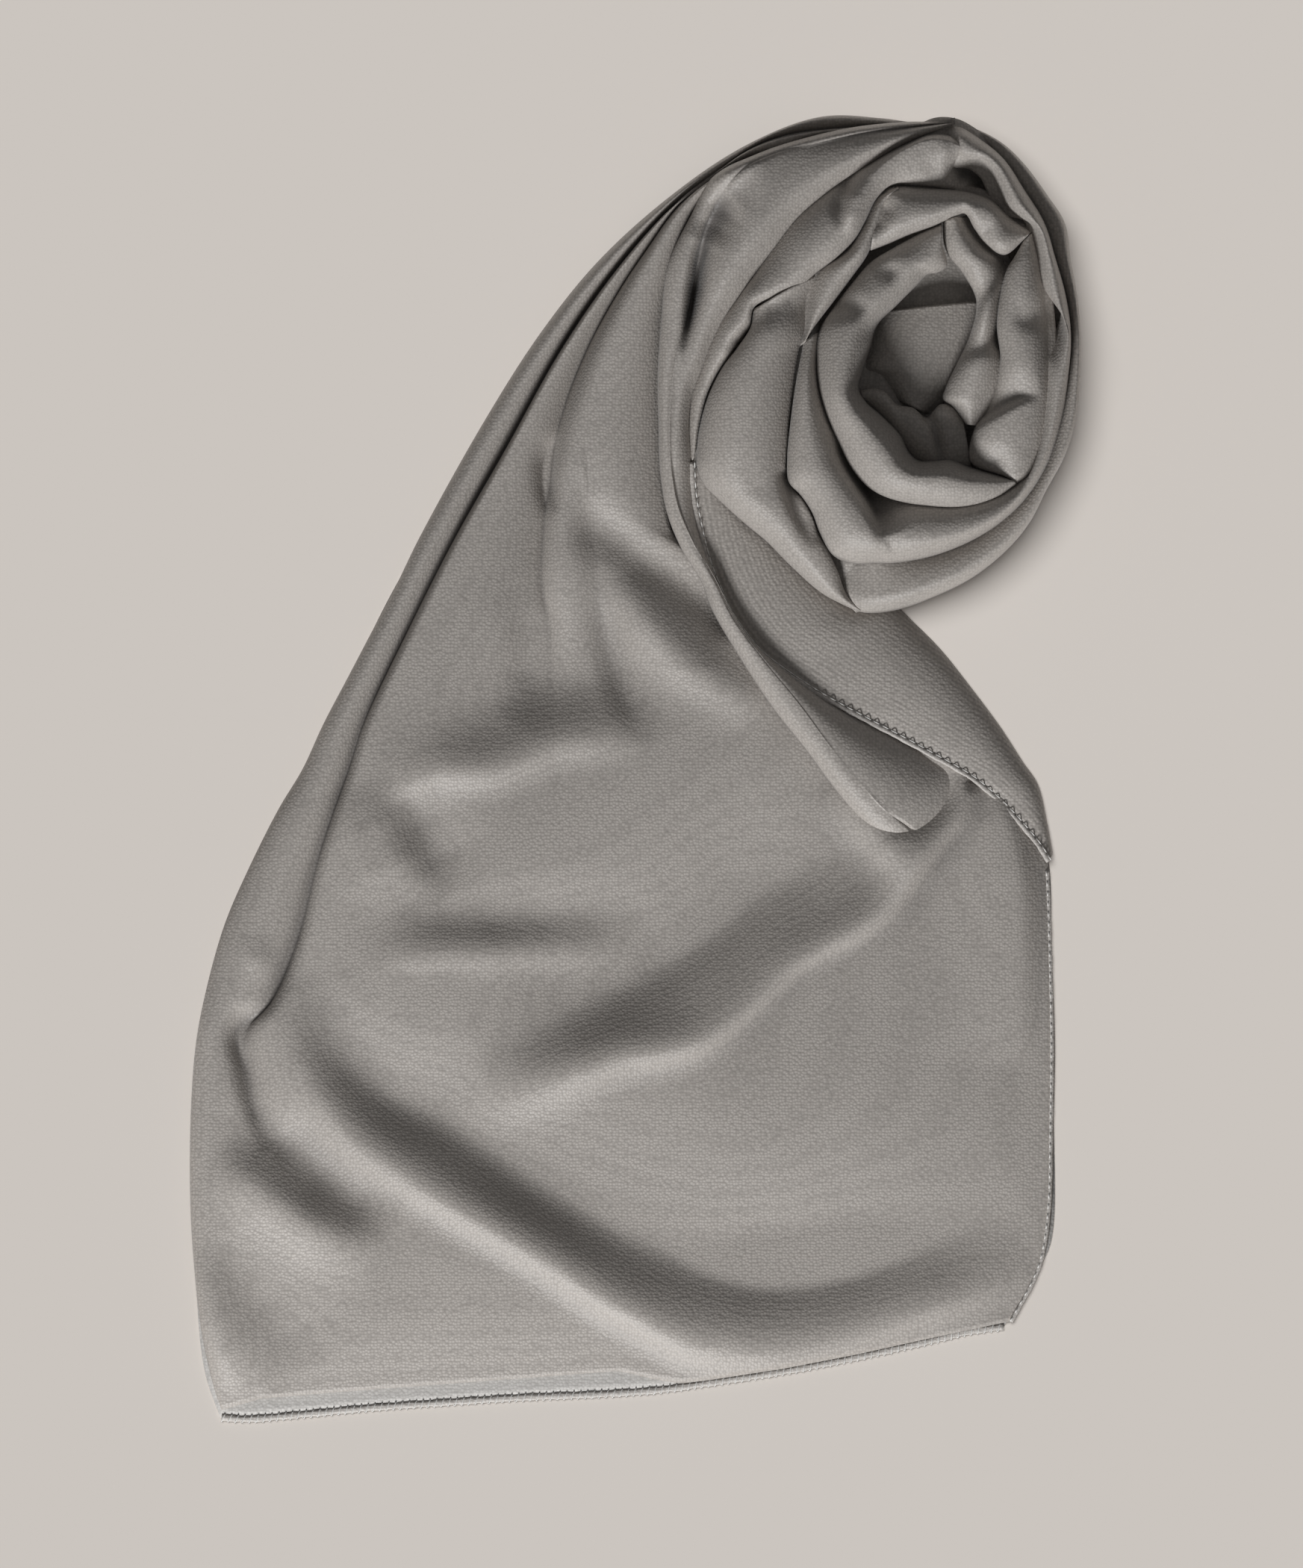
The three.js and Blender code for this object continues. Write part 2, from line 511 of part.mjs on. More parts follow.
// Large folds pressed into a stretch: height over the cloth, reach to the left and right of the line
const FAN_CREASES = [
  {
    height: 6, left: 14, right: 15,
    line: [
      [-170, -120], [-156, -140], [-128, -164], [-94, -180], [-65, -196], [-30, -217], [-7, -238],
      [2, -256], [3, -268],
    ],
  },
  {
    height: -8, left: 15, right: 15,
    line: [
      [-140, -112], [-130, -130], [-110, -152], [-75, -175], [-30, -200], [0, -220], [30, -230],
      [60, -232], [110, -225], [135, -221],
    ],
  },
  { height: 4, left: 13, right: 13, line: [[82, -247], [115, -241], [147, -234], [172, -225]] },
  {
    height: -8, left: 15, right: 14,
    line: [
      [-68, -127], [-40, -116], [0, -110], [25, -101], [45, -88], [65, -74], [82, -65], [100, -58],
    ],
  },
  {
    height: 6, left: 14, right: 15,
    line: [
      [-68, -150], [-45, -138], [0, -133], [20, -129], [35, -120], [50, -108], [64, -94], [80, -84],
      [98, -71], [114, -58], [119, -44],
    ],
  },
  {
    height: 5, left: 13, right: 13,
    line: [[-98, 0], [-93, -11], [-82, -15], [-65, -9], [-50, 0], [-30, 6], [0, 7], [12, 4]],
  },
  {
    height: -5, left: 14, right: 14,
    line: [[-100, 18], [-82, 12], [-65, 10], [-30, 24], [0, 27], [20, 22]],
  },
  { height: -4, left: 14, right: 13, line: [[-104, -18], [-95, -35], [-84, -50], [-78, -62]] },
  { height: -4, left: 13, right: 13, line: [[-95, -68], [-60, -70], [-20, -70], [0, -68]] },
  { height: -6, left: 13, right: 14, line: [[-10, 83], [3, 72], [23, 59], [43, 46]] },
  { height: -4, left: 13, right: 13, line: [[-178, -167], [-160, -172], [-137, -186], [-112, -197]] },
  { height: -4, left: 13, right: 13, line: [[-182, -215], [-170, -240], [-150, -258]] },
];
const SWEEP_CREASES = [
  { height: -7, left: 4, right: 6, line: [[27, 228], [27, 215], [25, 200], [19, 185], [15, 168]] },
  { height: -8, left: 14, right: 18, line: [[75, 34], [91, 20], [114, 7], [130, -3], [143, -9]] },
];
const OUTER_TURN_CREASES = [
  { height: -7, left: 2.5, right: 9, line: [[94, 133], [104, 118], [108, 108], [110, 100]] },
];
const TOP_TURN_CREASES = [
  { height: -9, left: 10, right: 9, line: [[134, 264], [146, 259], [155, 252], [160, 246]] },
];

addUnderlayer();
addCore();

// The turns of the coil, from the outermost
addStretch("rim_turn", {
  rails: [coilOutline, outerTurnBorder],
  folds: [{ crest: [27, 31, 31, 32, 34, 33], crestAt: 0.72, rollLeft: 1, rollRight: 0.2 }],
  step: 11,
});
addStretch("outer_turn", {
  rails: [outerTurnOuter, outerTurnInner],
  folds: [
    { crest: [44, 49, 48, 46, 46, 48, 48, 45, 43, 42, 36], crestAt: 0.4, rollLeft: 1, rollRight: 0.2 },
  ],
  creases: OUTER_TURN_CREASES,
  step: 11,
});
addStretch("top_turn", {
  rails: [topTurnOuter, topTurnInner],
  folds: [{ crest: [18, 26, 36, 42, 46, 46, 40, 30], crestAt: 0.6, rollLeft: 0.1, rollRight: 1 }],
  creases: TOP_TURN_CREASES,
});
addStretch("inner_strip", {
  rails: [stripLeft, stripRight],
  folds: [{ crest: [39, 41, 42, 40, 36, 30], crestAt: 0.6, rollLeft: 0.1, rollRight: 1, steps: 2 }],
  under: ["top_turn"],
});
addStretch("inner_arc", {
  rails: [arcTop, arcBottom],
  folds: [{ crest: [42, 45, 46, 46, 44, 38], crestAt: 0.5, rollLeft: 0.8, rollRight: 1 }],
  under: ["inner_strip"],
});
addStretch("inner_ring", {
  rails: [ringOuter, ringInner],
  folds: [
    { crest: [38, 46, 50, 51, 50, 48, 46, 44, 42, 38], crestAt: 0.35, rollLeft: 1, rollRight: 0.7 },
  ],
});
addStretch("right_fold_outer", {
  rails: [rightFoldOuter, rightFoldInner],
  folds: [{ crest: [40, 45, 46, 46, 46, 45, 40], crestAt: 0.5, rollLeft: 0.4, rollRight: 1 }],
});
addStretch("right_fold_inner", {
  rails: [innerFoldOuter, innerFoldInner],
  folds: [{ crest: [40, 42, 42, 42, 41, 38, 33], crestAt: 0.5, rollLeft: 0.1, rollRight: 1 }],
});
addStretch("petal", {
  rails: [petalLeft, petalRight],
  folds: [
    { crest: [36, 40, 42, 42, 41, 40, 36, 28, 18], crestAt: 0.45, rollLeft: 1, rollRight: 0.5 },
  ],
  under: ["top_turn"],
});

// What lies in the hollow of the coil
addStretch("hollow_cloth", {
  rails: [hollowLeft, hollowRight],
  folds: [{ crest: [22, 25, 26, 25, 23], crestAt: 0.5, rollLeft: 0.3, rollRight: 0.3, steps: 2 }],
  under: ["inner_ring", "right_fold_inner"],
  bed: HOLLOW_FLOOR + SEAM_GAP,
});
addStretch("hollow_fold", {
  rails: [hollowFoldOuter, hollowFoldInner],
  folds: [{ crest: [20, 22, 23, 23], crestAt: 0.5, rollLeft: 1, rollRight: 0.2, steps: 2 }],
  under: ["inner_ring", "hollow_cloth", "right_fold_inner"],
  bed: HOLLOW_FLOOR + SEAM_GAP,
});

// The neck and the fanned end. The flap's hem lies beside this share of the sweep.
const HEM_SHARE = 0.53;
addStretch("sweep", {
  rails: [sweepLeft, sweepRight],
  folds: [
    {
      crest: [10, 15, 16, 17, 17, 18, 20, 24, 32, 40, 44, 44, 42, 39],
      crestAt: 0.4, rollLeft: 1, rollRight: 0.6,
    },
  ],
  creases: SWEEP_CREASES,
  insetRight: (t) => (t < HEM_SHARE ? HEM_SEAT : SEAM_GAP),
  step: 12,
});
addStretch("flap", {
  rails: [flapHemLine, flapFold],
  folds: [{ crest: [5, 11, 12, 12, 13, 14, 15, 16], crestAt: 0.45, rollLeft: 0.3, rollRight: 1 }],
  insetLeft: () => HEM_SEAT,
  under: ["petal", "rim_turn", "top_turn"],
  step: 12,
});
addStretch("fan", {
  rails: [fanLeft, pleatLine, fanRight],
  folds: [
    {
      crest: [2.7, 8, 10, 11, 11, 11, 11, 12, 13, 15, 19, 25, 30, 27],
      crestAt: 0.35, rollLeft: 0.6, rollRight: 0, steps: 5, bow: -0.8,
    },
    {
      crest: [2.7, 8, 10, 10, 10, 10, 11, 12, 15, 19, 24, 30, 32, 27],
      crestAt: 0.3, rollLeft: 0.6, rollRight: 0, steps: 5, bow: 3.5,
    },
  ],
  creases: FAN_CREASES,
  under: ["sweep", "flap"],
  step: 14,
});
addStretch("side_roll", {
  rails: [sideOutline, sideBorder],
  folds: [
    {
      crest: [4, 7, 8, 8, 9, 9, 10, 11, 13, 17, 22, 27, 29, 22],
      crestAt: 0.5, rollLeft: 1, rollRight: 0.2,
    },
  ],
  under: ["fan"],
  step: 18,
});

// The hems, as small rolls along the edges
addHem("bottom_hem", BOTTOM_HEM, 26);
addHem("right_hem", RIGHT_HEM, 16);
addHem("flap_hem", FLAP_HEM.map(([x, y, z]) => [x, y, z + HEM_THICKNESS / 2]), 30);

export default root;
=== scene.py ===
# A georgette scarf laid on a table: folded lengthwise, fanned out at one end and wound into a coil.
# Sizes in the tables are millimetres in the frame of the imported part. Blender's own units are metres.
import math

import bpy
import numpy as np
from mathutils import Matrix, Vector


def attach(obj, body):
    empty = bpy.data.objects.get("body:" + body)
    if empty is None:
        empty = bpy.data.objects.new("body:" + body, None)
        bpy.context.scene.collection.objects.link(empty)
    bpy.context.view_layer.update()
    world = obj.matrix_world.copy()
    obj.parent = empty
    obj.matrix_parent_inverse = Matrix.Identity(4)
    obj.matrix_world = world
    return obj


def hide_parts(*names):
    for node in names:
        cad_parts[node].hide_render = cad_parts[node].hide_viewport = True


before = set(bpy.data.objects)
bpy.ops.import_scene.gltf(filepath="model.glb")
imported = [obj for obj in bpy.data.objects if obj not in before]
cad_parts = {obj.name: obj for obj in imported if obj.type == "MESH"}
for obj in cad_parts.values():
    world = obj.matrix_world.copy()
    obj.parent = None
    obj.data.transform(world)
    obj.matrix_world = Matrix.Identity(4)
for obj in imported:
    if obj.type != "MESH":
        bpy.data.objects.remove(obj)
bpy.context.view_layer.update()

MM = 0.001

# The camera looks straight down on the scarf, through a lens so long that the coil doesn't lean.
# The view is as tall as the photograph's frame, and its middle is a little right of the scarf's.
VIEW_HEIGHT = 685
VIEW_MIDDLE = (7.3, -6.2)
CAMERA_DISTANCE = 6000
SENSOR_WIDTH = 36
camera_data = bpy.data.cameras.new("camera")
camera_data.sensor_width = SENSOR_WIDTH
camera_data.lens = SENSOR_WIDTH * CAMERA_DISTANCE / VIEW_HEIGHT
camera = bpy.data.objects.new("camera", camera_data)
camera.location = Vector((*VIEW_MIDDLE, CAMERA_DISTANCE)) * MM
camera_data.clip_end = 2 * CAMERA_DISTANCE * MM
bpy.context.scene.collection.objects.link(camera)
bpy.context.scene.camera = camera


# The cloth is grey-taupe georgette: crepe threads give it a pebbled grain and a soft satin sheen.
# The same bolt makes every stretch of the scarf, so one finish serves them all.
class Shade:
    """A socket of a material, so that the maths between sockets can be written as sums and products."""

    def __init__(self, tree, socket=None):
        self.tree = tree
        self.socket = socket

    def node(self, kind, settings=None, inputs=None, output=0):
        made = self.tree.nodes.new(kind)
        for name, value in (settings or {}).items():
            setattr(made, name, value)
        for name, value in (inputs or {}).items():
            if isinstance(value, Shade):
                self.tree.links.new(value.socket, made.inputs[name])
            else:
                made.inputs[name].default_value = value
        return Shade(self.tree, made.outputs[output]) if len(made.outputs) else made

    def calculate(self, operation, first, second):
        return self.node("ShaderNodeMath", {"operation": operation}, {0: first, 1: second})

    def __add__(self, other):
        return self.calculate("ADD", self, other)

    def __sub__(self, other):
        return self.calculate("SUBTRACT", self, other)

    def __rsub__(self, other):
        return self.calculate("SUBTRACT", other, self)

    def __mul__(self, other):
        return self.calculate("MULTIPLY", self, other)

    __radd__ = __add__
    __rmul__ = __mul__


# The crepe's pebbles: their pitch, how far they stand out, how far they stray from even rows, and how
# much lighter each is than the gap beside it. Clouds are slow changes of tone over the cloth.
GRAIN_SIZE = 1.35
GRAIN_DEPTH = 0.2
GRAIN_SCATTER = 0.6
GRAIN_CONTRAST = 1.1
CLOUD_SCALE = 14.0
CLOUD_CONTRAST = 0.3
TONE_SHIFT = 0.3
# A wave texture at this scale has one band to a unit of length.
ONE_BAND = 0.314
RIB_CONTRAST = 0.5
CLOTH_ROUGHNESS = 0.5
CLOTH_SHINE = 0.45
SHEEN = 0.12
SHEEN_ROUGHNESS = 0.4
# The deep colour is painted shade for the valleys, and the number after it is its share at the bottom of a
# valley.
CLOTH_DARK = (0.38, 0.352, 0.326, 1)
CLOTH_LIGHT = (0.60, 0.56, 0.52, 1)
VALLEY_SHADE_COLOUR = (0.10, 0.092, 0.09, 1)
VALLEY_SHADE_SHARE = 0.75


def cloth_finish(name, dark, light, grain_depth, thread_gap=None):
    """Crepe pebbles over the whole surface, darkened with painted shade in the valleys of each stretch. A
    thread gap adds the fine ribs that show where one sheer layer lies on another. They run along the piece."""
    material = bpy.data.materials.new(name)
    material.use_nodes = True
    tree = material.node_tree
    tree.nodes.clear()
    finish = Shade(tree)
    place = finish.node("ShaderNodeTexCoord", output="Object")
    cells = finish.node("ShaderNodeTexVoronoi", inputs={
        "Vector": place, "Scale": 1 / (GRAIN_SIZE * MM), "Randomness": GRAIN_SCATTER,
    })
    clouds = finish.node("ShaderNodeTexNoise", inputs={
        "Vector": place, "Scale": CLOUD_SCALE, "Detail": 2.0,
    })
    pebbles = 1 - cells
    tone = GRAIN_CONTRAST * pebbles + CLOUD_CONTRAST * clouds - TONE_SHIFT
    if thread_gap:
        along = finish.node("ShaderNodeUVMap")
        ribs = finish.node("ShaderNodeTexWave", {"wave_type": "BANDS", "bands_direction": "X"}, {
            "Vector": along, "Scale": ONE_BAND / (thread_gap * MM), "Distortion": 3.0,
            "Detail": 1.0, "Detail Scale": 0.6,
        }, output=1)
        tone = tone + RIB_CONTRAST * ribs - RIB_CONTRAST / 2
    colour = finish.node("ShaderNodeMix", {"data_type": "RGBA"}, {
        "Factor": tone, "A": dark, "B": light,
    }, output=2)
    # Painted shade: the colour is mixed towards a deep grey where a stretch sinks into a valley.
    valley_shade = finish.node("ShaderNodeAttribute", {"attribute_name": "valley_shade"}, output="Fac")
    colour = finish.node("ShaderNodeMix", {"data_type": "RGBA"}, {
        "Factor": VALLEY_SHADE_SHARE * valley_shade, "A": colour, "B": VALLEY_SHADE_COLOUR,
    }, output=2)
    grain = finish.node("ShaderNodeBump", inputs={
        "Height": pebbles, "Distance": grain_depth * MM, "Strength": 1.0,
    })
    skin = finish.node("ShaderNodeBsdfPrincipled", inputs={
        "Base Color": colour, "Roughness": CLOTH_ROUGHNESS, "Normal": grain,
        "Sheen Weight": SHEEN, "Sheen Roughness": SHEEN_ROUGHNESS, "Specular IOR Level": CLOTH_SHINE,
    })
    finish.node("ShaderNodeOutputMaterial", inputs={"Surface": skin})
    return material


cloth = cloth_finish("georgette", CLOTH_DARK, CLOTH_LIGHT, GRAIN_DEPTH)
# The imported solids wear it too, until the pieces below stand for them.
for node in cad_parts.values():
    for slot in node.material_slots:
        slot.material = cloth


# The lower half of the folded cloth lies flat on the table, under the fan, the neck and the coil.
# It shows only as a pale strip along the bottom hem, where a single layer of the cloth peeps out.
WALL = 0.6
STEP = 1.6
# Points to each span of a rail, and the least length that a span counts as
RAIL_STEPS = 24
SHORTEST = 1e-4


def rail(rows):
    """A smooth curve through rows of [x, y, z], and the length walked at each of its points."""
    points = np.array(rows, float)
    before = 2 * points[0] - points[1]
    after = 2 * points[-1] - points[-2]
    points = np.vstack([before, points, after])
    finely = np.linspace(0, 1, RAIL_STEPS + 1)[:-1, None]
    walked = []
    for p0, p1, p2, p3 in zip(points, points[1:], points[2:], points[3:]):
        d0, d1, d2 = (
            max(np.linalg.norm(b - a), SHORTEST) ** 0.5 for a, b in ((p0, p1), (p1, p2), (p2, p3)))
        out = ((p1 - p0) / d0 - (p2 - p0) / (d0 + d1) + (p2 - p1) / d1) * d1
        into = ((p2 - p1) / d1 - (p3 - p1) / (d1 + d2) + (p3 - p2) / d2) * d1
        bend = -3 * p1 + 3 * p2 - 2 * out - into
        twist = 2 * p1 - 2 * p2 + out + into
        walked.append(p1 + out * finely + bend * finely**2 + twist * finely**3)
    walked.append(points[-2:-1])
    curve = np.vstack(walked)
    length = np.concatenate([[0], np.cumsum(np.linalg.norm(np.diff(curve, axis=0), axis=1))])
    return curve, length


def on_rail(curve, shares):
    """Points of a rail at shares of its length, from 0 to 1."""
    points, length = curve
    return np.stack([np.interp(shares * length[-1], length, points[:, k]) for k in range(3)], axis=-1)


def smoothly(values, shares):
    """Values given at evenly spaced places along a fold, joined by a smooth curve."""
    if isinstance(values, (int, float)):
        return np.full(shares.shape, float(values))
    rows = [[i, value, 0] for i, value in enumerate(values)]
    points, _ = rail(rows)
    return np.interp(shares * (len(values) - 1), points[:, 0], points[:, 1])


CREASE_STEPS = 3


def relief(x, y, creases):
    """Soft ridges, with heights above 0, and troughs pressed into a stretch of cloth. Walking along a
    crease's line, its height and its spread to the left and the right run through even lists."""
    rise = np.zeros_like(x)
    for crease in creases:
        line = rail([[px, py, 0] for px, py in crease["line"]])
        line = on_rail(line, np.linspace(0, 1, CREASE_STEPS * len(crease["line"])))[:, :2]
        nearest = np.full(x.shape, np.inf)
        share = np.zeros_like(x)
        leftward = np.zeros(x.shape, bool)
        for i, (a, b) in enumerate(zip(line, line[1:])):
            way = b - a
            part = np.clip(((x - a[0]) * way[0] + (y - a[1]) * way[1]) / (way @ way), 0, 1)
            off_x = x - a[0] - part * way[0]
            off_y = y - a[1] - part * way[1]
            distance = np.hypot(off_x, off_y)
            closer = distance < nearest
            nearest = np.where(closer, distance, nearest)
            share = np.where(closer, (i + part) / (len(line) - 1), share)
            leftward = np.where(closer, off_x * way[1] < off_y * way[0], leftward)
        height, left, right = (
            np.interp(share, np.linspace(0, 1, len(values)), values)
            for values in (crease["height"], crease["left"], crease["right"]))
        rise += height * np.exp(-((nearest / np.where(leftward, left, right)) ** 2))
    return rise


FOLD_SAMPLES = 400
FOLD_EVENNESS = 0.5


def half_fold(roll, steps):
    """Places from a fold's rail to its crest, and how far the fold has risen there. A roll of 1 makes
    a quarter circle that stands upright at the rail, and 0 a slope that is steepest there."""
    angles = np.linspace(0, np.pi / 2, FOLD_SAMPLES)
    even = angles / (np.pi / 2)
    reach = even + (1 - np.cos(angles) - even) * roll
    walk = np.linspace(0, 1, steps + 1)
    places = (1 - FOLD_EVENNESS) * np.interp(walk, even, reach) + FOLD_EVENNESS * walk
    return places, np.sin(np.interp(places, reach, angles))


FEWEST_ROWS = 4
FEWEST_STEPS = 6
EXTRA_STEPS = 1.15


def cloth_face(rails, folds, creases=(), step=STEP, left=None, right=None, lowest=0.0):
    """The upper face of a stretch as rows of points. Neighbouring rails hold one fold each."""
    rows = max(FEWEST_ROWS, round(max(length[-1] for _, length in rails) / step))
    t = np.linspace(0, 1, rows + 1)
    borders = [on_rail(curve, t) for curve in rails]
    columns = [borders[0]]
    for a, b, fold in zip(borders, borders[1:], folds):
        widest = np.linalg.norm(b[:, :2] - a[:, :2], axis=1).max()
        crest = smoothly(fold["crest"], t)
        crest_at = smoothly(fold["crest_at"], t)
        left_steps = max(FEWEST_STEPS, round(EXTRA_STEPS * crest_at.mean() * widest / step))
        right_steps = max(FEWEST_STEPS, round(EXTRA_STEPS * (1 - crest_at.mean()) * widest / step))
        for place, rise in list(zip(*half_fold(fold["roll_left"], left_steps)))[1:]:
            point = a + (b - a) * (crest_at * place)[:, None]
            point[:, 2] = a[:, 2] + (crest - a[:, 2]) * rise
            columns.append(point)
        for place, rise in list(zip(*half_fold(fold["roll_right"], right_steps)))[-2::-1]:
            point = b + (a - b) * ((1 - crest_at) * place)[:, None]
            point[:, 2] = b[:, 2] + (crest - b[:, 2]) * rise
            columns.append(point)
    grid = np.stack(columns, axis=1)
    grid[..., 2] += relief(grid[..., 0], grid[..., 1], creases)
    grid[..., 2] = np.maximum(grid[..., 2], lowest)
    if left:
        outward = borders[0] - borders[1]
        grid = np.concatenate([edge(grid[:, 0], outward, *left)[:, ::-1], grid], axis=1)
    if right:
        outward = borders[-1] - borders[-2]
        grid = np.concatenate([grid, edge(grid[:, -1], outward, *right)], axis=1)
    return grid


EDGE_COLUMNS = 5
# A turned edge curls through this share of a half circle, and its last part sinks a little more.
CURL = 0.8
SINKS_FROM = 0.62
SINKS_BY = 0.2


def edge(points, outward, kind, reach, drop):
    """More columns past an edge: a tuck runs on under its neighbour, a turn curls round underneath."""
    flat = outward.copy()
    flat[:, 2] = 0
    flat /= np.linalg.norm(flat, axis=1)[:, None]
    columns = []
    for share in np.linspace(0, 1, EDGE_COLUMNS + 1)[1:]:
        column = points.copy()
        if kind == "tuck":
            column += flat * reach * share
            column[:, 2] -= drop * share
        else:
            angle = share * CURL * np.pi
            column -= flat * reach * (1 - math.cos(angle))
            sinks = SINKS_BY * drop * max(0, share - SINKS_FROM)
            column[:, 2] -= drop * math.sin(min(angle, np.pi / 2)) + sinks
        columns.append(column)
    return np.stack(columns, axis=1)


# Within the reach of a point the level is averaged, and at the depth below it the painted valley shade is
# strongest.
VALLEY_REACH = 10
VALLEY_DEPTH = 3.6


def valley_shade_amount(grid):
    """How far each point has sunk into a valley of its own stretch, from 0 to 1, which sets how much
    painted shade darkens the cloth's colour there."""
    level = grid[..., 2]
    for axis in (0, 1):
        gap = np.linalg.norm(np.diff(grid, axis=axis), axis=2).mean()
        reach = min(max(1, round(VALLEY_REACH / gap)), level.shape[axis] - 1)
        padding = [(0, 0), (0, 0)]
        padding[axis] = (reach, reach)
        wide = np.pad(level, padding, mode="reflect", reflect_type="odd")
        window = np.hanning(2 * reach + 3)[1:-1]
        level = np.apply_along_axis(np.convolve, axis, wide, window / window.sum(), "valid")
    return np.clip((level - grid[..., 2]) / VALLEY_DEPTH, 0, 1)


SEAM_GAP = 0.01


def lay(name, grid, nodes, wall=WALL, finish=cloth, held="folded",
        closed=False):
    """A grid of points as a thin shell of cloth that stands for its solids."""
    ahead = np.diff(grid, axis=0)[:, :-1]
    aside = np.diff(grid, axis=1)[:-1]
    if not closed and np.cross(aside, ahead)[..., 2].mean() < 0:
        grid = grid[:, ::-1]
    rows, columns = grid.shape[:2]
    bpy.ops.object.select_all(action="DESELECT")
    bpy.ops.mesh.primitive_grid_add(x_subdivisions=columns - 1, y_subdivisions=rows - 1, size=1)
    piece = bpy.context.object
    piece.name = name
    mesh = piece.data
    mesh.vertices.foreach_set("co", (grid * MM).astype(np.float32).ravel())
    across = np.linalg.norm(np.diff(grid, axis=1), axis=2)
    along = np.linalg.norm(np.diff(grid, axis=0), axis=2)
    u = np.zeros((rows, columns))
    v = np.zeros((rows, columns))
    u[:, 1:] = np.cumsum(across, axis=1)
    v[1:, :] = np.cumsum(along, axis=0)
    corner = np.zeros(len(mesh.loops), np.int32)
    mesh.loops.foreach_get("vertex_index", corner)
    threads = np.stack([u.ravel()[corner], v.ravel()[corner]], axis=1) * MM
    mesh.uv_layers[0].data.foreach_set("uv", threads.astype(np.float32).ravel())
    # Painted shade: how far each point lies down in a valley, which darkens the cloth's colour there.
    valley_shade = mesh.attributes.new("valley_shade", "FLOAT", "POINT")
    valley_shade.data.foreach_set("value", valley_shade_amount(grid).astype(np.float32).ravel())
    mesh.update()
    if closed:
        bpy.ops.object.mode_set(mode="EDIT")
        bpy.ops.mesh.select_all(action="SELECT")
        bpy.ops.mesh.remove_doubles(threshold=SEAM_GAP * MM)
        bpy.ops.object.mode_set(mode="OBJECT")
    thickness = piece.modifiers.new("wall", "SOLIDIFY")
    thickness.thickness = wall * MM
    thickness.offset = -1
    bpy.ops.object.modifier_apply(modifier="wall")
    bpy.ops.object.shade_smooth()
    piece.data.materials.clear()
    piece.data.materials.append(finish)
    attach(piece, "root")
    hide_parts(*nodes)
    if held:
        one_way = grid[1:, 1:] - grid[:-1, :-1]
        other_way = grid[1:, :-1] - grid[:-1, 1:]
    return piece


under_left = rail([
    [-181, -283, 1], [-188, -262, 1], [-192, -215, 1], [-193, -150, 1], [-186, -95, 1], [-168, -45, 1],
    [-138, 10, 1], [-112, 66, 1], [-94, 99, 1], [-63, 151, 1], [-38, 190, 1], [-14, 219, 1],
    [19, 248, 1], [52, 270, 1], [83, 281, 1], [105, 281, 1],
])
under_right = rail([
    [161, -243.4, 1], [176, -219, 1], [182, -205, 1], [183, -150, 1], [182, -80, 1], [180, -35, 1],
    [167, 2, 1], [143, 33, 1], [122, 56, 1], [112, 68, 1], [140, 86, 1], [168, 108, 1],
    [184, 136, 1], [191, 172, 1],
    [190, 205, 1], [183, 236, 1], [165, 264, 1], [140, 278, 1],
])
FLAT = {"crest": [1, 1], "crest_at": 0.5, "roll_left": 0, "roll_right": 0}
BOTTOM_HEM = [
    [-180.5, -283, 1.2], [-169, -283.6, 1.2], [-147, -281.8, 1.2], [-114, -278.6, 1.2],
    [-81.5, -276.3, 1.2], [-49, -274.2, 1.2], [-16, -272.8, 1.2], [10, -271.0, 1.2],
    [33, -267.8, 1.2], [65, -262.8, 1.2], [98, -256.4, 1.2], [130, -249.2, 1.2], [147, -245.2, 1.2],
    [161, -243.4, 1.2],
]
# Over this share of a stretch's length its rows move over to the bottom edge.
BOTTOM_REACH = 0.1
SINGLE_WALL = 0.7
SINGLE_DARK = (0.56, 0.54, 0.515, 1)
SINGLE_LIGHT = (0.76, 0.74, 0.715, 1)


def meet_bottom(grid, bottom, reach):
    """Brings the first rows of a stretch to the line of its bottom edge, over a share of its length."""
    rows = len(grid)
    edge_x, edge_y = np.array(bottom).T[:2]
    fade = np.maximum(0, 1 - np.linspace(0, 1, rows) / reach) ** 2
    offset = np.interp(grid[0, :, 0], edge_x, edge_y) - grid[0, :, 1]
    grid[..., 1] += fade[:, None] * offset[None, :]
    return grid


under_grid = cloth_face([under_left, under_right], [FLAT], step=4)
single_finish = cloth_finish("one sheer layer", SINGLE_DARK, SINGLE_LIGHT, GRAIN_DEPTH)
lay("underlayer_cloth", meet_bottom(under_grid, BOTTOM_HEM, BOTTOM_REACH), ["underlayer"],
    wall=SINGLE_WALL, finish=single_finish)


# The hidden turns of the coil, seen only past its rim as a stack of rounded edges.
# They are the same cloth, turned over and over, and the showing turns lie on them.
COIL_MIDDLE = (117, 175)
# Radii all round the coil, which starts on the right
CORE_RADII = [
    77, 78, 84, 95, 102, 108, 106, 113, 112, 100, 88, 82, 80, 82, 86, 92, 98, 103, 104, 98, 91, 84,
    80, 78,
]
CORE_STEPS = 192
CORE_SOFTNESS = 17
CORE_HOLLOW = 3
# How far in from those radii each point of the section lies, and its height
CORE_FOOT = [(8, 1.7), (4.2, 2.0)]
CORE_TOP = [
    (9, 17), (14, 18.5), (20, 20), (27, 20.5), (33, 20), (38, 17.8), (46, 17.5), (60, 17.5),
    (74, 17.5), (120, 17.5),
]
# Each hidden turn from its lowest to its highest point, and how far in it lies
CORE_TURNS = ((2.0, 5.4, 2.6), (5.4, 8.8, 3.4), (8.8, 12.4, 3.2), (12.4, 16.0, 4.6))
TURN_ARC = 0.42
TURN_POINTS = 9


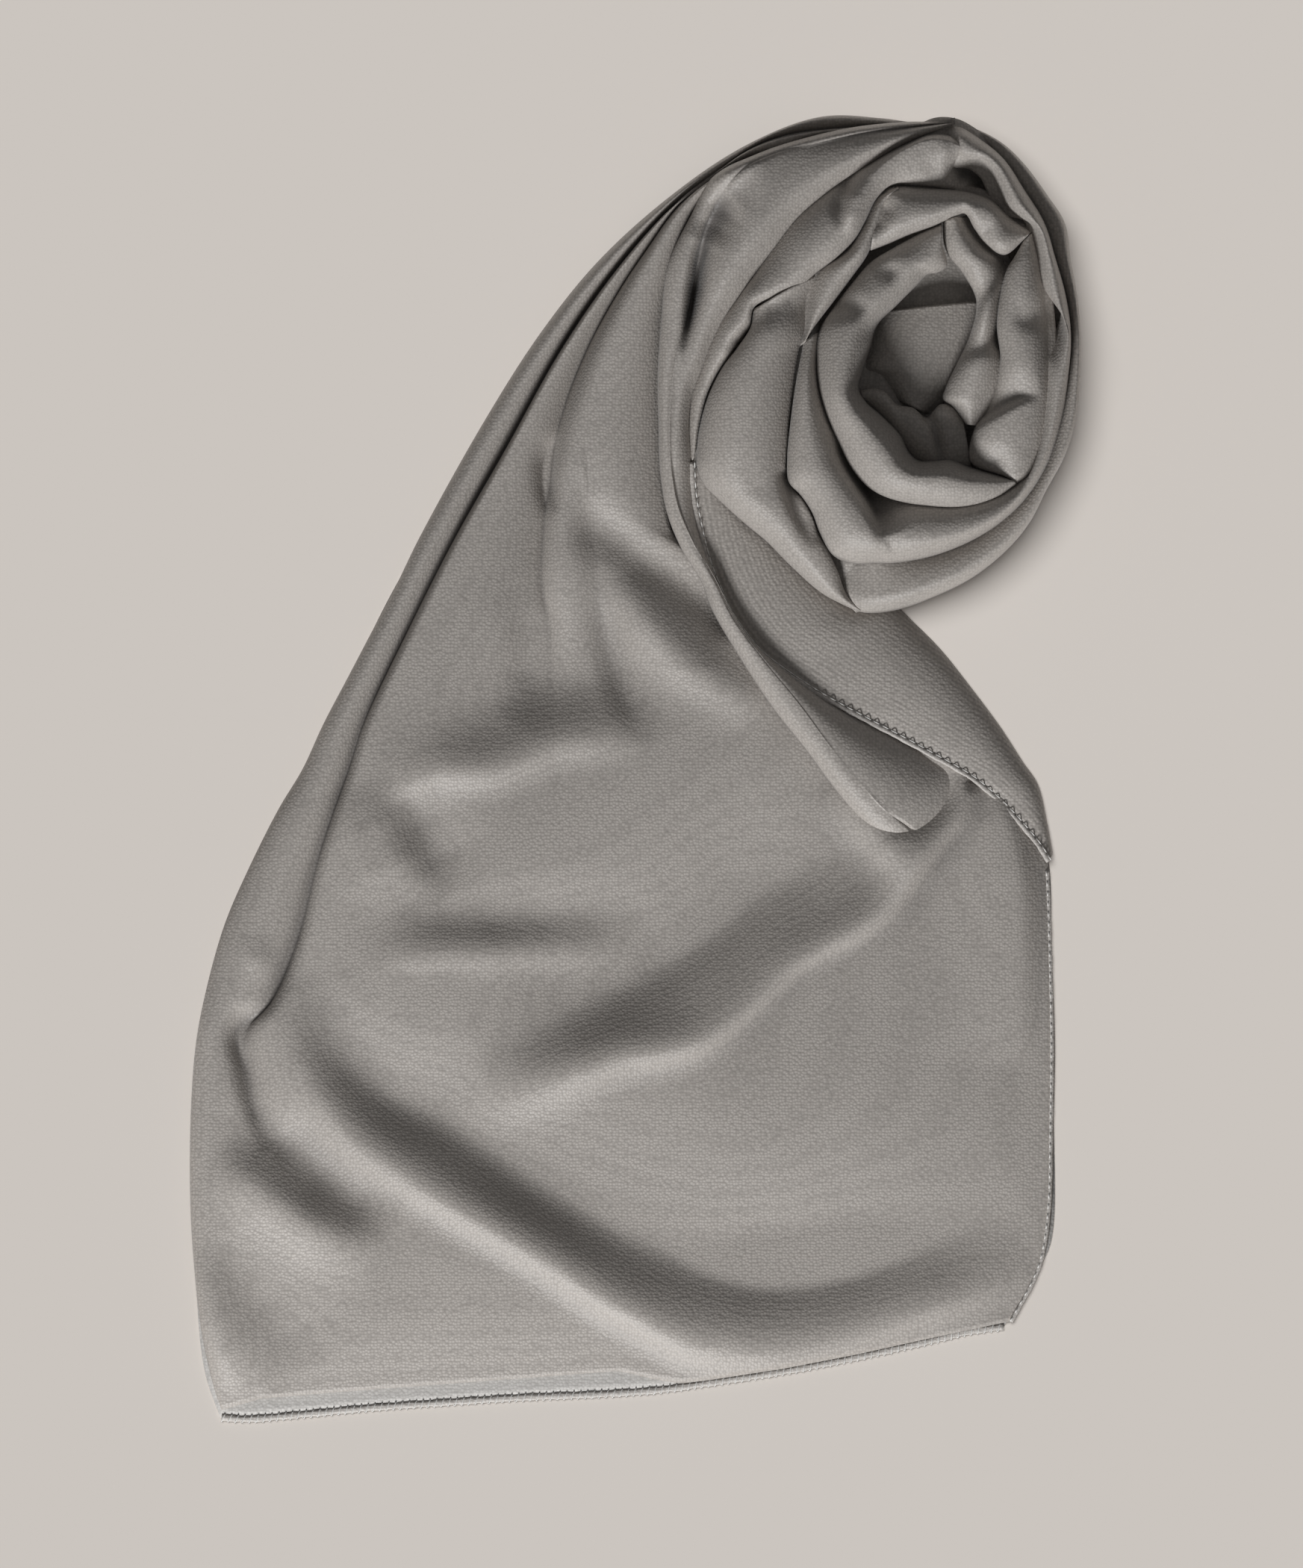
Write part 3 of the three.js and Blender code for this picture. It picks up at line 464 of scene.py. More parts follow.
def lay_core():
    """The wound cloth as one surface: the same section all round, set out to the radii."""
    turns = np.arange(CORE_STEPS) / CORE_STEPS
    count = len(CORE_RADII)
    radii = np.interp(turns * count, np.arange(count + 1), CORE_RADII + CORE_RADII[:1])
    window = np.hanning(CORE_SOFTNESS)
    radii = np.convolve(np.tile(radii, 3), window / window.sum(), "same")[CORE_STEPS:2 * CORE_STEPS]
    section = list(CORE_FOOT)
    for low, high, inset in CORE_TURNS:
        middle = (low + high) / 2
        half = (high - low) / 2
        for angle in np.linspace(-TURN_ARC, TURN_ARC, TURN_POINTS) * np.pi:
            section.append((inset + half - half * math.cos(angle), middle + half * math.sin(angle)))
    section += CORE_TOP
    section.reverse()
    rows = []
    for turn, radius in zip(turns, radii):
        angle = turn * 2 * np.pi
        reach = np.array([max(radius - inset, CORE_HOLLOW) for inset, _ in section])
        height = np.array([z for _, z in section])
        rows.append(np.stack([
            COIL_MIDDLE[0] + reach * math.cos(angle), COIL_MIDDLE[1] + reach * math.sin(angle), height,
        ], axis=1))
    rows.append(rows[0])
    grid = np.stack(rows, axis=0)
    lay("coil_core_cloth", grid, ["coil_core"], closed=True)


lay_core()


# The upper half of the cloth fans out flat, in big soft folds. Its folded left side rolls up beside
# the neck and over the top of the coil, and two pleats run up the neck between it and the sweep.
def shifted(rows, x=0, y=0, z=0):
    """The same rows of [x, y, z], moved over."""
    return [[row[0] + x, row[1] + y, row[2] + z] for row in rows]


side_outline = rail([
    [-180.5, -281, 2], [-184, -270, 2], [-189, -247, 2], [-192.3, -218, 2], [-194, -192, 2],
    [-194, -153, 2], [-191.7, -120, 2], [-187.5, -97.5, 2], [-179.3, -68, 2], [-169.5, -45, 2],
    [-155.5, -17, 2], [-145, 0.5, 2], [-136, 20, 2], [-125.5, 40, 2], [-114.5, 61, 2], [-104, 81, 2],
    [-94, 101.5, 2], [-65, 153.5, 2], [-41, 191, 2.5], [-16, 222, 4.5], [16, 250.7, 8], [49, 272.5, 13],
    [81.5, 284.6, 15], [107.6, 283.9, 15], [119, 282.4, 15],
])
side_border = rail([
    [-158, -279.5, 3], [-163, -262, 5.2], [-168, -235, 8], [-171, -205, 9], [-171, -175, 9.4],
    [-167, -150, 9.2], [-168, -133, 8], [-172.5, -118, 4.5], [-158.5, -101, 3], [-147, -74, 2.2],
    [-138.4, -40, 2.2], [-131.6, -19, 2.2], [-124.5, 1, 2.2], [-118, 21, 2.2], [-99.6, 60, 2.4],
    [-79.3, 100, 2.8], [-56.5, 140, 3.4], [-33, 182, 6], [-10, 215.5, 11],
    [14, 243, 17], [30, 255.5, 21], [48.5, 269.2, 23], [65, 276, 23], [82, 278.6, 22], [100, 280, 20],
])
pleat_line = rail([
    [-30, -271.8, 2.7], [-30, -240, 7.2], [-28, -200, 9.7], [-24, -150, 10], [-26, -100, 10],
    [-30, -50, 10], [-33, 0, 10.4], [-36, 40, 10.6], [-37.5, 65, 8], [-40.5, 82, 5], [-39, 114, 3.5],
    [-32.5, 152, 3.5], [-21, 183, 6], [-8, 207, 11], [4, 225, 16], [22.5, 249, 22], [48, 265, 25],
    [62, 268.5, 25.5], [75, 274, 25], [92, 277, 24],
])
fan_right = rail([
    [162, -240.8, 2.4], [174.5, -221, 2.4], [178, -211, 2.4], [180.5, -192, 2.4], [181.5, -153, 2.4],
    [182, -120, 2.4], [181, -88, 2.4], [179.7, -55, 2.4], [176, -20, 2.4], [160, 5, 2.4],
    [120, 30, 2.7], [80, 55, 3], [48, 74, 5], [29, 92, 7], [16, 103, 8], [11.4, 124, 8],
    [9.8, 150, 9.5], [9.8, 173, 12], [13, 206, 17.5], [24.5, 241.6, 22], [34, 252, 23.5], [60, 262, 25],
    [92, 275.5, 23],
])
FAN_FOLDS = [
    {
        "crest": [3, 7.5, 8.5, 9, 9, 10, 10.5, 11, 11, 12, 13, 16, 21, 26, 28, 22],
        "crest_at": 0.4, "roll_left": 1, "roll_right": 0,
    },
    {
        "crest": [2.7, 8, 9.5, 10, 10, 10, 11, 12.5, 14, 15.5, 18, 22, 27, 30, 27],
        "crest_at": [0.08, 0.08, 0.08, 0.08, 0.06, 0.05, 0.05, 0.06, 0.08, 0.1, 0.16, 0.24, 0.3, 0.3, 0.3],
        "roll_left": 0.8, "roll_right": 0.1,
    },
    {
        "crest": [2.7, 8, 10, 10, 10, 10, 10.5, 11.5, 14, 17, 21, 26, 30, 32, 27],
        "crest_at": [0.1, 0.1, 0.1, 0.1, 0.1, 0.1, 0.1, 0.1, 0.1, 0.14, 0.2, 0.25, 0.25, 0.25, 0.2],
        "roll_left": 0.7, "roll_right": 0.1,
    },
]
# Most of the fan's folds are a ridge with a trough on its upper side. Left and right are as seen
# walking along a line.
FAN_CREASES = [
    # the longest fold, from the left side down to the bottom hem and along it
    {
        "height": [1.5, 4.5, 6, 6.5, 6.5, 6.3, 5.6, 5.2, 4.6, 0],
        "left": [13, 15, 15, 15, 15, 15, 14, 14], "right": [12, 9.5, 8, 8, 8.5, 9, 8, 8],
        "line": [
            [-150, -103], [-146, -118], [-138, -140], [-124, -160], [-93, -182], [-55, -204.5],
            [-30, -220], [-7, -236], [20, -247], [60, -250], [90, -245], [120, -236], [150, -226],
            [172, -215],
        ],
    },
    {
        "height": [-2, -5, -6.5, -6.5, -6.5, -6.8, -7, -6, -3, 0], "left": [16, 30, 45, 45, 45],
        "right": [13, 13, 14, 14, 14],
        "line": [
            [-141, -95], [-134, -115], [-112, -138], [-77, -156.5], [-42, -181], [7, -206.5],
            [35, -216], [60, -218.5], [90, -214.5], [120, -207], [150, -198], [170, -190],
        ],
    },
    # the fold below the drape, which curls up round its end
    {
        "height": [0, 2.5, 5.6, 6.2, 5.8, 5.2, 5, 5.6, 6.6, 6],
        "left": [14, 14, 14, 14, 14, 13, 12, 12, 12], "right": [13, 12, 9, 6.5, 5, 5, 5, 5, 5],
        "line": [
            [-80, -150], [-55, -143], [-34, -135], [-4, -125], [13, -122.5], [30, -118], [50, -103],
            [68, -86], [82, -77.5], [95, -71], [108, -62], [117, -51], [124, -41], [132, -30],
            [140, -19], [144, -10],
        ],
    },
    {
        "height": [0, -3, -5.5, -7, -8, -8, -7.5, -5.5, -3, 0], "left": [20, 40, 40, 40, 30], "right": [15],
        "line": [
            [-70, -120], [-46, -113], [-25, -101], [-7, -93], [15, -82], [35, -68], [52, -54],
            [68, -45], [82, -37], [98, -30], [110, -27],
        ],
    },
    # the short bright fold in the middle of the fan, with the hollow above it
    {
        "height": [0, 3, 4.2, 4.4, 4.2, 4, 3.6, 3, 1.5, 0], "left": [13], "right": [8.5],
        "line": [
            [-99, -16], [-96, -6], [-88, 0], [-76, 0], [-64, 0.5], [-50, 5], [-35, 11], [-20, 13.5],
            [-5, 14.5], [8, 13],
        ],
    },
    {
        "height": [0, -3, -4.5, -4.5, -1], "left": [26], "right": [16],
        "line": [[-88, 30], [-66, 30], [-45, 37], [-20, 42], [0, 44]],
    },
    {
        "height": [0, 3.2, 3.6, 0], "left": [11], "right": [25],
        "line": [[-118, -6], [-113, -23], [-105, -40], [-97, -58]],
    },
    {
        "height": [0, -3.2, -3.6, 0], "left": [16], "right": [9.5],
        "line": [[-97, -6], [-93, -22], [-86, -38], [-78, -54]],
    },
    # a level crease across the middle
    {
        "height": [0, 2.2, 2.4, 2.3, 1.6, 0], "left": [9.5], "right": [8],
        "line": [[-118, -87], [-100, -81], [-60, -79.5], [-25, -79], [0, -78]],
    },
    {
        "height": [0, -2.2, -2.4, -2.3, -1.4, 0], "left": [14], "right": [9],
        "line": [[-108, -62], [-60, -63], [-20, -62], [10, -58]],
    },
    # folds that run out of the neck's pleats, down and to the right under the drape
    {
        "height": [-2, -5, -6, -6, -5, -3.5, 0], "left": [14], "right": [8],
        "line": [[-20, 120], [-17, 100], [-14, 80], [-12, 60], [-7, 42], [0, 26], [6, 12]],
    },
    {
        "height": [0, 3, 4.5, 5, 5, 4.5, 3.5], "left": [11], "right": [11],
        "line": [[-22, 104], [-15, 90], [-8, 78], [-0.5, 68], [10, 57], [21, 48], [33, 40], [46, 33]],
    },
    {
        "height": [-2, -4, -5, -5, -5, -5], "left": [10], "right": [10],
        "line": [[-16, 108], [-5, 99.5], [4, 92], [15, 85], [26, 77], [38, 68]],
    },
    {
        "height": [0, -2.5, -3, 0], "left": [12], "right": [9],
        "line": [[-52, 84], [-46, 60], [-48, 40], [-56, 22]],
    },
    # a dent where the second pleat opens
    {
        "height": [0, -6, -5, 0], "left": [3], "right": [5],
        "line": [[-36, 146], [-38.5, 134], [-37, 122], [-35, 112]],
    },
    # the hollow that the end of the drape lies in
    {
        "height": [0, -5, -6, -4], "left": [10], "right": [13],
        "line": [[102, -6], [116, -9], [130, -9], [144, -5]],
    },
    # short soft folds at the lower left corner
    {
        "height": [0, 4, 5, 4.8, 3, 0], "left": [10], "right": [14],
        "line": [[-186, -172], [-171, -179], [-158, -188], [-146, -197], [-128, -206], [-110, -213]],
    },
    {
        "height": [-2, -4.5, -5.2, -3.8, 0], "left": [12], "right": [10],
        "line": [[-168, -158], [-150, -165], [-135, -177.5], [-120, -188], [-103, -197]],
    },
    {
        "height": [0, 2.5, 3.5, 3, 1], "left": [14], "right": [8],
        "line": [[-192, -208], [-188, -230], [-183.5, -247], [-176, -262], [-168, -272]],
    },
    {
        "height": [0, -2, -3, -2.5, 0], "left": [20], "right": [13],
        "line": [[-180, -203], [-170, -220], [-161.7, -233], [-152, -248], [-142, -264]],
    },
    # the pinch at the left side, where the rolled edge opens out into the fan
    {
        "height": [0, -5, -6, -6, -5, -2], "left": [9], "right": [4.5],
        "line": [[-171, -102], [-172, -115], [-170, -130], [-165.5, -148], [-160, -160]],
    },
    {"height": [0, 1.8, 0], "left": [6], "right": [6], "line": [[-168, -72], [-164, -84], [-160, -94]]},
    # the dip beside the flap and the rise to the drape's end
    {
        "height": [5, 6.5, 6.5, 5, 3, 0], "left": [8], "right": [30],
        "line": [[146, 4], [157, -12], [164, -30], [168, -55], [168, -90], [166, -130]],
    },
    {
        "height": [0, 4, 7, 7.5, 3, 0], "left": [15], "right": [11],
        "line": [[88, -4], [97, -16], [106, -27], [114, -36], [121, -45], [126, -54]],
    },
]
# The upper layer ends a little above the hem, where the layer below peeps out.
BOTTOM_EDGE = [
    [-180, -279.5], [-163, -274.5], [-114, -270.5], [-60, -266.5], [-7, -262.5], [8, -266], [20, -268],
    [33, -266.4], [65, -261.4], [98, -255], [130, -248], [162, -241.2],
]
fan_grid = cloth_face(
    [side_outline, side_border, pleat_line, fan_right], FAN_FOLDS, FAN_CREASES, step=2.7,
    left=("turn", 1.5, 1.5), right=("tuck", 1.5, 1), lowest=1.9,
)
lay("fan_cloth", meet_bottom(fan_grid, BOTTOM_EDGE, BOTTOM_REACH), ["fan", "side_roll"])


# The lowest turn of the coil shows past the others down the right side and along the bottom.
# It curls under at the rim, where it rests on the turns below.
coil_outline = rail([
    [104, 278.5, 13], [116, 280.5, 17], [128, 281.8, 19], [136, 281, 20], [147, 279.5, 17],
    [160, 273, 15], [170, 263.5, 15], [180, 250, 15],
    [187.5, 238, 15], [190, 222, 15], [193, 205, 15], [194.3, 189, 15], [194, 172, 15],
    [192.3, 153, 15], [187.5, 137, 15], [179.5, 122, 14], [172, 107.5, 13], [162, 95.5, 12],
    [147, 83.5, 11], [130.5, 75.3, 10], [114, 69.6, 10], [100, 68.4, 9], [94, 70.5, 8], [86, 76, 6],
])
OUTER_TURN_BORDER = [
    [147, 276.5, 28], [160, 266, 30], [169.5, 252, 30], [178, 238, 30], [183, 222, 30],
    [187.5, 206, 30], [189.7, 189.5, 30], [188.5, 171, 30], [185.8, 153.5, 30], [179.3, 133, 30],
    [170, 118, 29], [159.7, 108, 28], [147, 99.8, 26], [130.5, 93.2, 25], [114, 90, 25],
    [104, 89.8, 25],
]
rim_inner = rail([
    [104, 273, 19], [116, 275.5, 22], [128, 277.5, 24], [136, 277.5, 26],
    *shifted(OUTER_TURN_BORDER, z=-1.2), [96, 89.5, 19], [87, 93, 16],
])
RIM_FOLDS = [{
    "crest": [21, 28, 31, 32, 32.5, 33, 31, 28, 14], "crest_at": 0.36, "roll_left": 1, "roll_right": 0.2,
}]
lay("rim_turn_cloth", cloth_face(
    [coil_outline, rim_inner], RIM_FOLDS, step=1.4, left=("turn", 4, 5), right=("tuck", 9, 4),
), ["rim_turn"])


# The next turn in, from the coil's top down its right side, along its bottom and up its left.
# It is the same cloth, and rests on the hidden turns. Its outer edge curls under, and its inner edge
# runs on under the turns inside it.
RING_BORDER = [
    [166, 123.5, 36], [158, 118.8, 37], [148, 115.2, 38], [139, 114, 38], [130, 114.3, 38],
    [120, 115.5, 37], [110, 118, 37], [103, 121.5, 36], [97.5, 126.5, 35], [93, 133, 35],
    [88.7, 142, 34], [83.8, 153, 33], [80.2, 165, 32], [79, 177, 31], [80, 190, 30],
]
outer_turn_outer = rail([
    [126, 278.5, 26], [133, 280, 28], [140, 280, 30], *OUTER_TURN_BORDER, [97, 89.5, 26], [91, 90.5, 26],
    [85.5, 94, 28], [80.5, 103, 29], [77, 112, 30], [72, 119.5, 30], [67, 125, 30], [66.3, 136, 30],
    [67.8, 152, 30], [70, 168, 29], [73.4, 186, 27],
])
outer_turn_inner = rail([
    [126, 274, 28], [134, 273.5, 33], [138.5, 269, 37], [142, 265.5, 38], [149, 264, 37],
    [154.5, 259.5, 36], [158, 252.5, 35],
    [161.5, 244.5, 34], [167, 240, 36], [172.8, 236, 38], [175.5, 225, 38], [177, 213, 38],
    [181, 204, 37], [186, 197, 35], [185.3, 190, 34], [182.8, 184, 35], [180, 178, 37],
    [179.5, 168, 38], [178.6, 155, 38], [176, 140.5, 37], [171.2, 128, 36], *shifted(RING_BORDER, z=-1),
])
OUTER_TURN_FOLDS = [{
    "crest": [31, 45, 48, 46, 44, 41.5, 42, 44, 44, 43, 36],
    "crest_at": [0.52, 0.52, 0.52, 0.5, 0.42, 0.38, 0.42, 0.5, 0.52, 0.52, 0.52],
    "roll_left": 0.7, "roll_right": 0.2,
}]
OUTER_TURN_CREASES = [
    {
        "height": [-1, -9, -14, -11, -2], "left": [11], "right": [3.5],
        "line": [[88, 143], [94, 133], [100, 124], [105, 113], [109, 101]],
    },
    {
        "height": [0, 3, 3, 0], "left": [6], "right": [5],
        "line": [[139, 262], [142, 270], [143.5, 276], [144, 281]],
    },
]
lay("outer_turn_cloth", cloth_face(
    [outer_turn_outer, outer_turn_inner], OUTER_TURN_FOLDS, OUTER_TURN_CREASES, step=1.25,
    left=("turn", 2, 2), right=("tuck", 5, 4),
), ["outer_turn"])


# The turn over the top of the coil, caught under the sweep along its outer side.
# It is the same cloth, and rests on the hidden turns.
OVER_THE_TOP = [
    [23.6, 148.7, 17], [25, 163.3, 19], [28.5, 173, 22], [33, 185, 25], [38.5, 196, 28], [45, 205.5, 30],
    [51, 214, 32], [60, 226, 35], [70, 239, 37], [80, 248, 38], [90, 255.5, 38], [100, 262, 38],
    [110, 268, 38], [119, 272.5, 38],
]
top_turn_outer = rail([
    [24.5, 134, 14], *shifted(OVER_THE_TOP, z=-1), [128, 276, 37], [137, 275.5, 36], [147, 270, 33],
    [156, 263, 30], [162, 254, 28], [165, 245, 27],
])
top_turn_inner = rail([
    [26.5, 138, 15], [28.5, 152, 17], [32, 165, 20], [38, 176, 23], [44.5, 184.5, 26], [50, 192, 28],
    [52, 201, 31], [61, 204, 32], [70, 207.5, 33], [78.5, 215.5, 34], [88, 222.5, 35], [95.5, 230, 35],
    [100, 238, 36], [105, 248, 37], [112, 253.8, 37], [122, 253.8, 36], [130, 253, 35], [138, 252, 33],
    [148, 250.5, 31], [156, 248, 29], [161, 243, 28],
])
TOP_TURN_FOLDS = [{
    "crest": [17, 24, 36, 43, 47, 47, 43, 32],
    "crest_at": [0.66, 0.66, 0.66, 0.66, 0.6, 0.24, 0.14, 0.2], "roll_left": 0.3, "roll_right": 1,
}]
TOP_TURN_CREASES = [
    {
        "height": [-2, -13, -16, -15, -10], "left": [6], "right": [8],
        "line": [[134, 262], [142, 261], [150, 257], [157, 250], [162, 242]],
    },
    {
        "height": [0, -4, -4, 0], "left": [5], "right": [3],
        "line": [[97, 261], [91, 252], [88.5, 244], [90, 235]],
    },
    {
        "height": [0, 3, 3.5, 0], "left": [6], "right": [3.5],
        "line": [[99, 257], [94.5, 248], [93.5, 239], [96, 231]],
    },
    {
        "height": [0, -4, -4, 0], "left": [2.5], "right": [4],
        "line": [[40, 181], [44, 186], [49, 191], [52, 196]],
    },
    {"height": [0, 3, 0], "left": [7], "right": [5], "line": [[128, 262], [137, 267], [143, 272]]},
]
lay("top_turn_cloth", cloth_face(
    [top_turn_outer, top_turn_inner], TOP_TURN_FOLDS, TOP_TURN_CREASES, step=1.25,
    left=("tuck", 8, 4), right=("turn", 1.5, 1.5),
), ["top_turn"])


# The inner turns: a narrow strip beside the ring, an arc over its top, the ring itself and,
# on the right, two folds side by side.
strip_left = rail([
    [114, 253.6, 35], [106, 249, 35], [99.4, 237, 34], [92, 226, 33], [80, 217, 32], [75.5, 203, 30],
    [74, 191, 28], [72.6, 185, 27],
])
strip_right = rail([
    [115, 251.5, 37], [109.5, 247, 36], [107, 240, 35], [104, 231, 33], [101, 223.5, 32], [94, 213.5, 31],
    [86.5, 203.5, 30], [80, 195, 29], [75.5, 187.5, 28],
])
STRIP_FOLDS = [{"crest": [40, 42, 43, 41, 38, 33], "crest_at": 0.6, "roll_left": 0.1, "roll_right": 1}]
lay("inner_strip_cloth", cloth_face(
    [strip_left, strip_right], STRIP_FOLDS, step=1.1, left=("tuck", 5, 3), right=("turn", 1.2, 2.5),
), ["inner_strip"])

arc_top = rail([
    [105, 246, 35], [110, 252.5, 35], [116, 253.6, 35], [124, 253, 35], [137, 252, 33], [147, 250.6, 31],
    [155, 247.5, 31], [162, 241, 32], [172, 233.5, 35],
])
arc_bottom = rail([
    [102.5, 225.5, 33], [110, 228.3, 34], [120, 232.5, 35], [130, 236, 36], [139, 240, 36],
    [143.4, 241.3, 36], [147.5, 234.5, 36], [152, 228.5, 36], [160.5, 223.5, 36], [169.5, 230.5, 36],
])
ARC_FOLDS = [{"crest": [43, 46, 47, 47, 45, 40], "crest_at": 0.62, "roll_left": 0.8, "roll_right": 1}]
ARC_CREASES = [
    {
        "height": [0, -4, -4, 0], "left": [4], "right": [5],
        "line": [[114, 248], [109, 243], [105.5, 237], [104, 230]],
    },
    {
        "height": [0, 2.5, 2, 0], "left": [4], "right": [3.5],
        "line": [[143, 243], [150, 245.5], [157, 242], [163, 237]],
    },
    {"height": [0, -3, 0], "left": [4], "right": [4], "line": [[147, 240], [152, 234], [158, 229]]},
]
lay("inner_arc_cloth", cloth_face(
    [arc_top, arc_bottom], ARC_FOLDS, ARC_CREASES, step=1.1, left=("tuck", 3, 3), right=("turn", 1.2, 1.2),
), ["inner_arc"])

ring_outer = rail([
    [166, 124, 34], *RING_BORDER[1:], [86.5, 201, 31],
    [95, 212, 32], [102.5, 220.5, 33], [112, 226.5, 34], [124, 233, 35], [133, 237.3, 35],
])
ring_inner = rail([
    [164, 126, 33], [155, 129, 30], [145, 132, 27], [137, 135, 25], [130, 134.5, 24], [123.5, 134.8, 23],
    [119.5, 138.5, 22], [116, 146, 22], [107.5, 154.5, 22], [101, 160, 22], [97.6, 166, 22],
    [99.4, 174, 23], [102.7, 184, 24], [105.3, 193, 25], [114, 202, 27], [123, 211, 29],
    [127.5, 215.3, 30], [131.5, 216, 31], [135.5, 218.5, 31], [135, 224, 32], [133, 228, 32],
])
RING_FOLDS = [{
    "crest": [38, 46, 50, 51, 50, 48, 46, 44, 43, 42], "crest_at": 0.56,
    "roll_left": 0.55, "roll_right": 0.6,
}]
RING_CREASES = [
    {
        "height": [0, -3, -3, 0], "left": [5], "right": [5],
        "line": [[82, 199], [90, 201], [98, 200], [103, 197]],
    },
    {"height": [0, -2.5, 0], "left": [4], "right": [5], "line": [[104, 214], [111, 216], [118, 214]]},
]
lay("inner_ring_cloth", cloth_face(
    [ring_outer, ring_inner], RING_FOLDS, RING_CREASES, step=1.1, left=("turn", 2, 2), right=("turn", 2, 3),
), ["inner_ring"])

RIGHT_FOLD_BORDER = [
    [161.4, 217, 34], [158.5, 205, 34], [157.3, 192, 34], [158.8, 178, 34],
    [156.5, 165, 33], [151.6, 156, 32], [148, 149.6, 31],
]
right_fold_outer = rail([
    [172.8, 233, 35], [175.5, 220, 37], [178.6, 196, 37], [179.5, 176, 37], [179, 160, 37],
    [176, 140.5, 36], [171.2, 128, 35], [166, 124, 33],
])
right_fold_inner = rail([
    [169, 230, 36], [165, 223, 35], *RIGHT_FOLD_BORDER, [146, 134, 28], [163, 126.5, 32],
])
RIGHT_FOLDS = [{
    "crest": [40, 45, 46, 46, 45, 42, 37], "crest_at": 0.5, "roll_left": 0.4, "roll_right": 1,
}]
RIGHT_FOLD_CREASES = [
    {
        "height": [-9, -8, -6, 0], "left": [9], "right": [2.8],
        "line": [[147, 152], [156, 157], [166, 162], [176, 164]],
    },
    {
        "height": [0, -2.5, -2.5, 0], "left": [7], "right": [5],
        "line": [[162, 195], [168, 196], [174, 196], [180, 194]],
    },
    {"height": [0, -3, 0], "left": [5], "right": [4], "line": [[148, 141], [157, 134], [166, 127]]},
]
lay("right_fold_outer_cloth", cloth_face(
    [right_fold_outer, right_fold_inner], RIGHT_FOLDS, RIGHT_FOLD_CREASES, step=1.1,
    left=("tuck", 4, 3), right=("turn", 1.5, 1.5),
), ["right_fold_outer"])

inner_fold_outer = rail([
    [142.5, 240.5, 34], [147, 233, 34], [153.5, 226, 34], [159.5, 221.5, 34],
    *shifted(RIGHT_FOLD_BORDER, z=-1),
])
inner_fold_inner = rail([
    [134, 238.5, 34], [134.3, 229, 31], [137, 222.5, 30], [142, 216.5, 30], [148.5, 204, 29],
    [146, 190, 28], [140.2, 177, 26], [135, 166, 25], [134, 161, 24], [138, 158, 24], [144, 150, 25],
])
INNER_FOLDS = [{"crest": [41, 43, 43, 43, 42, 39, 33], "crest_at": 0.5, "roll_left": 0.1, "roll_right": 1}]
INNER_FOLD_CREASES = [
    {"height": [-4, -4.5, -3], "left": [3], "right": [6], "line": [[161, 221], [155, 212], [148, 203]]},
    {
        "height": [-3, -4.5, -4], "left": [8], "right": [4.5],
        "line": [[138, 181], [148, 184], [159, 187]],
    },
]
lay("right_fold_inner_cloth", cloth_face(
    [inner_fold_outer, inner_fold_inner], INNER_FOLDS, INNER_FOLD_CREASES, step=1.1,
    left=("tuck", 4, 3), right=("turn", 1.5, 2),
), ["right_fold_inner"])


# The broad fold at the coil's lower left, which stands over the flap.
# It is the same cloth, and rests on the hidden turns with both of its long edges turned under.
petal_left = rail([
    [51.5, 200, 31], [50, 192, 28], [44.5, 183.5, 26], [38, 175, 23], [32, 163, 20], [28.5, 151, 17],
    [27, 141, 15], [27, 131, 14], [30, 124, 13], [36, 118, 13], [43, 111.5, 13], [50, 105.5, 13],
    [57, 99.8, 13], [68.5, 88.3, 12], [81.5, 77, 11], [97, 69, 10],
])
petal_right = rail([
    [78.2, 214.5, 32], [75, 203, 30], [73.4, 189.4, 28], [71.5, 183, 28], [68.5, 163.3, 28],
    [66.6, 146, 29], [66, 130, 29], [67.5, 124, 29], [73, 117.5, 29], [77.3, 110, 28], [80, 102, 27],
    [84.5, 94.5, 25], [88.5, 86, 22], [92, 77, 17], [99, 69.8, 11],
])
PETAL_FOLDS = [{
    "crest": [44, 44, 43, 41, 38, 35, 31, 25, 15], "crest_at": 0.5, "roll_left": 1, "roll_right": 0.5,
}]
PETAL_CREASES = [
    {
        "height": [-4, -4, -3, 0], "left": [4.5], "right": [3],
        "line": [[66, 128], [68, 118], [72, 109], [79, 97]],
    },
    {
        "height": [0, -4, -5, -3], "left": [5], "right": [8],
        "line": [[50, 205], [57, 201], [66, 203], [76, 208]],
    },
    {"height": [0, -1.5, 0], "left": [7], "right": [7], "line": [[46, 140], [52, 122], [60, 106]]},
]
lay("petal_cloth", cloth_face(
    [petal_left, petal_right], PETAL_FOLDS, PETAL_CREASES, step=1.35,
    left=("turn", 2, 2), right=("turn", 1.5, 1.5),
), ["petal"])


# Deep in the hollow of the coil lies more of the cloth: a bulge, and a fold along its lower side.
# Both rest on the hidden turns.
hollow_left = rail([
    [111, 200, 20], [106.5, 193, 19], [103, 183, 18], [101.5, 175, 18], [108, 172, 18], [116, 160, 18],
])
hollow_right = rail([
    [149, 204, 21], [148, 192, 21], [144, 178, 20], [138, 170, 20], [132, 161, 20], [127, 155, 18],
])
HOLLOW_FOLDS = [{"crest": [25, 26, 26, 25, 23], "crest_at": 0.5, "roll_left": 0.3, "roll_right": 0.3}]
lay("hollow_cloth_cloth", cloth_face(
    [hollow_left, hollow_right], HOLLOW_FOLDS, step=1.2, left=("tuck", 3, 2), right=("tuck", 3, 2),
), ["hollow_cloth"])

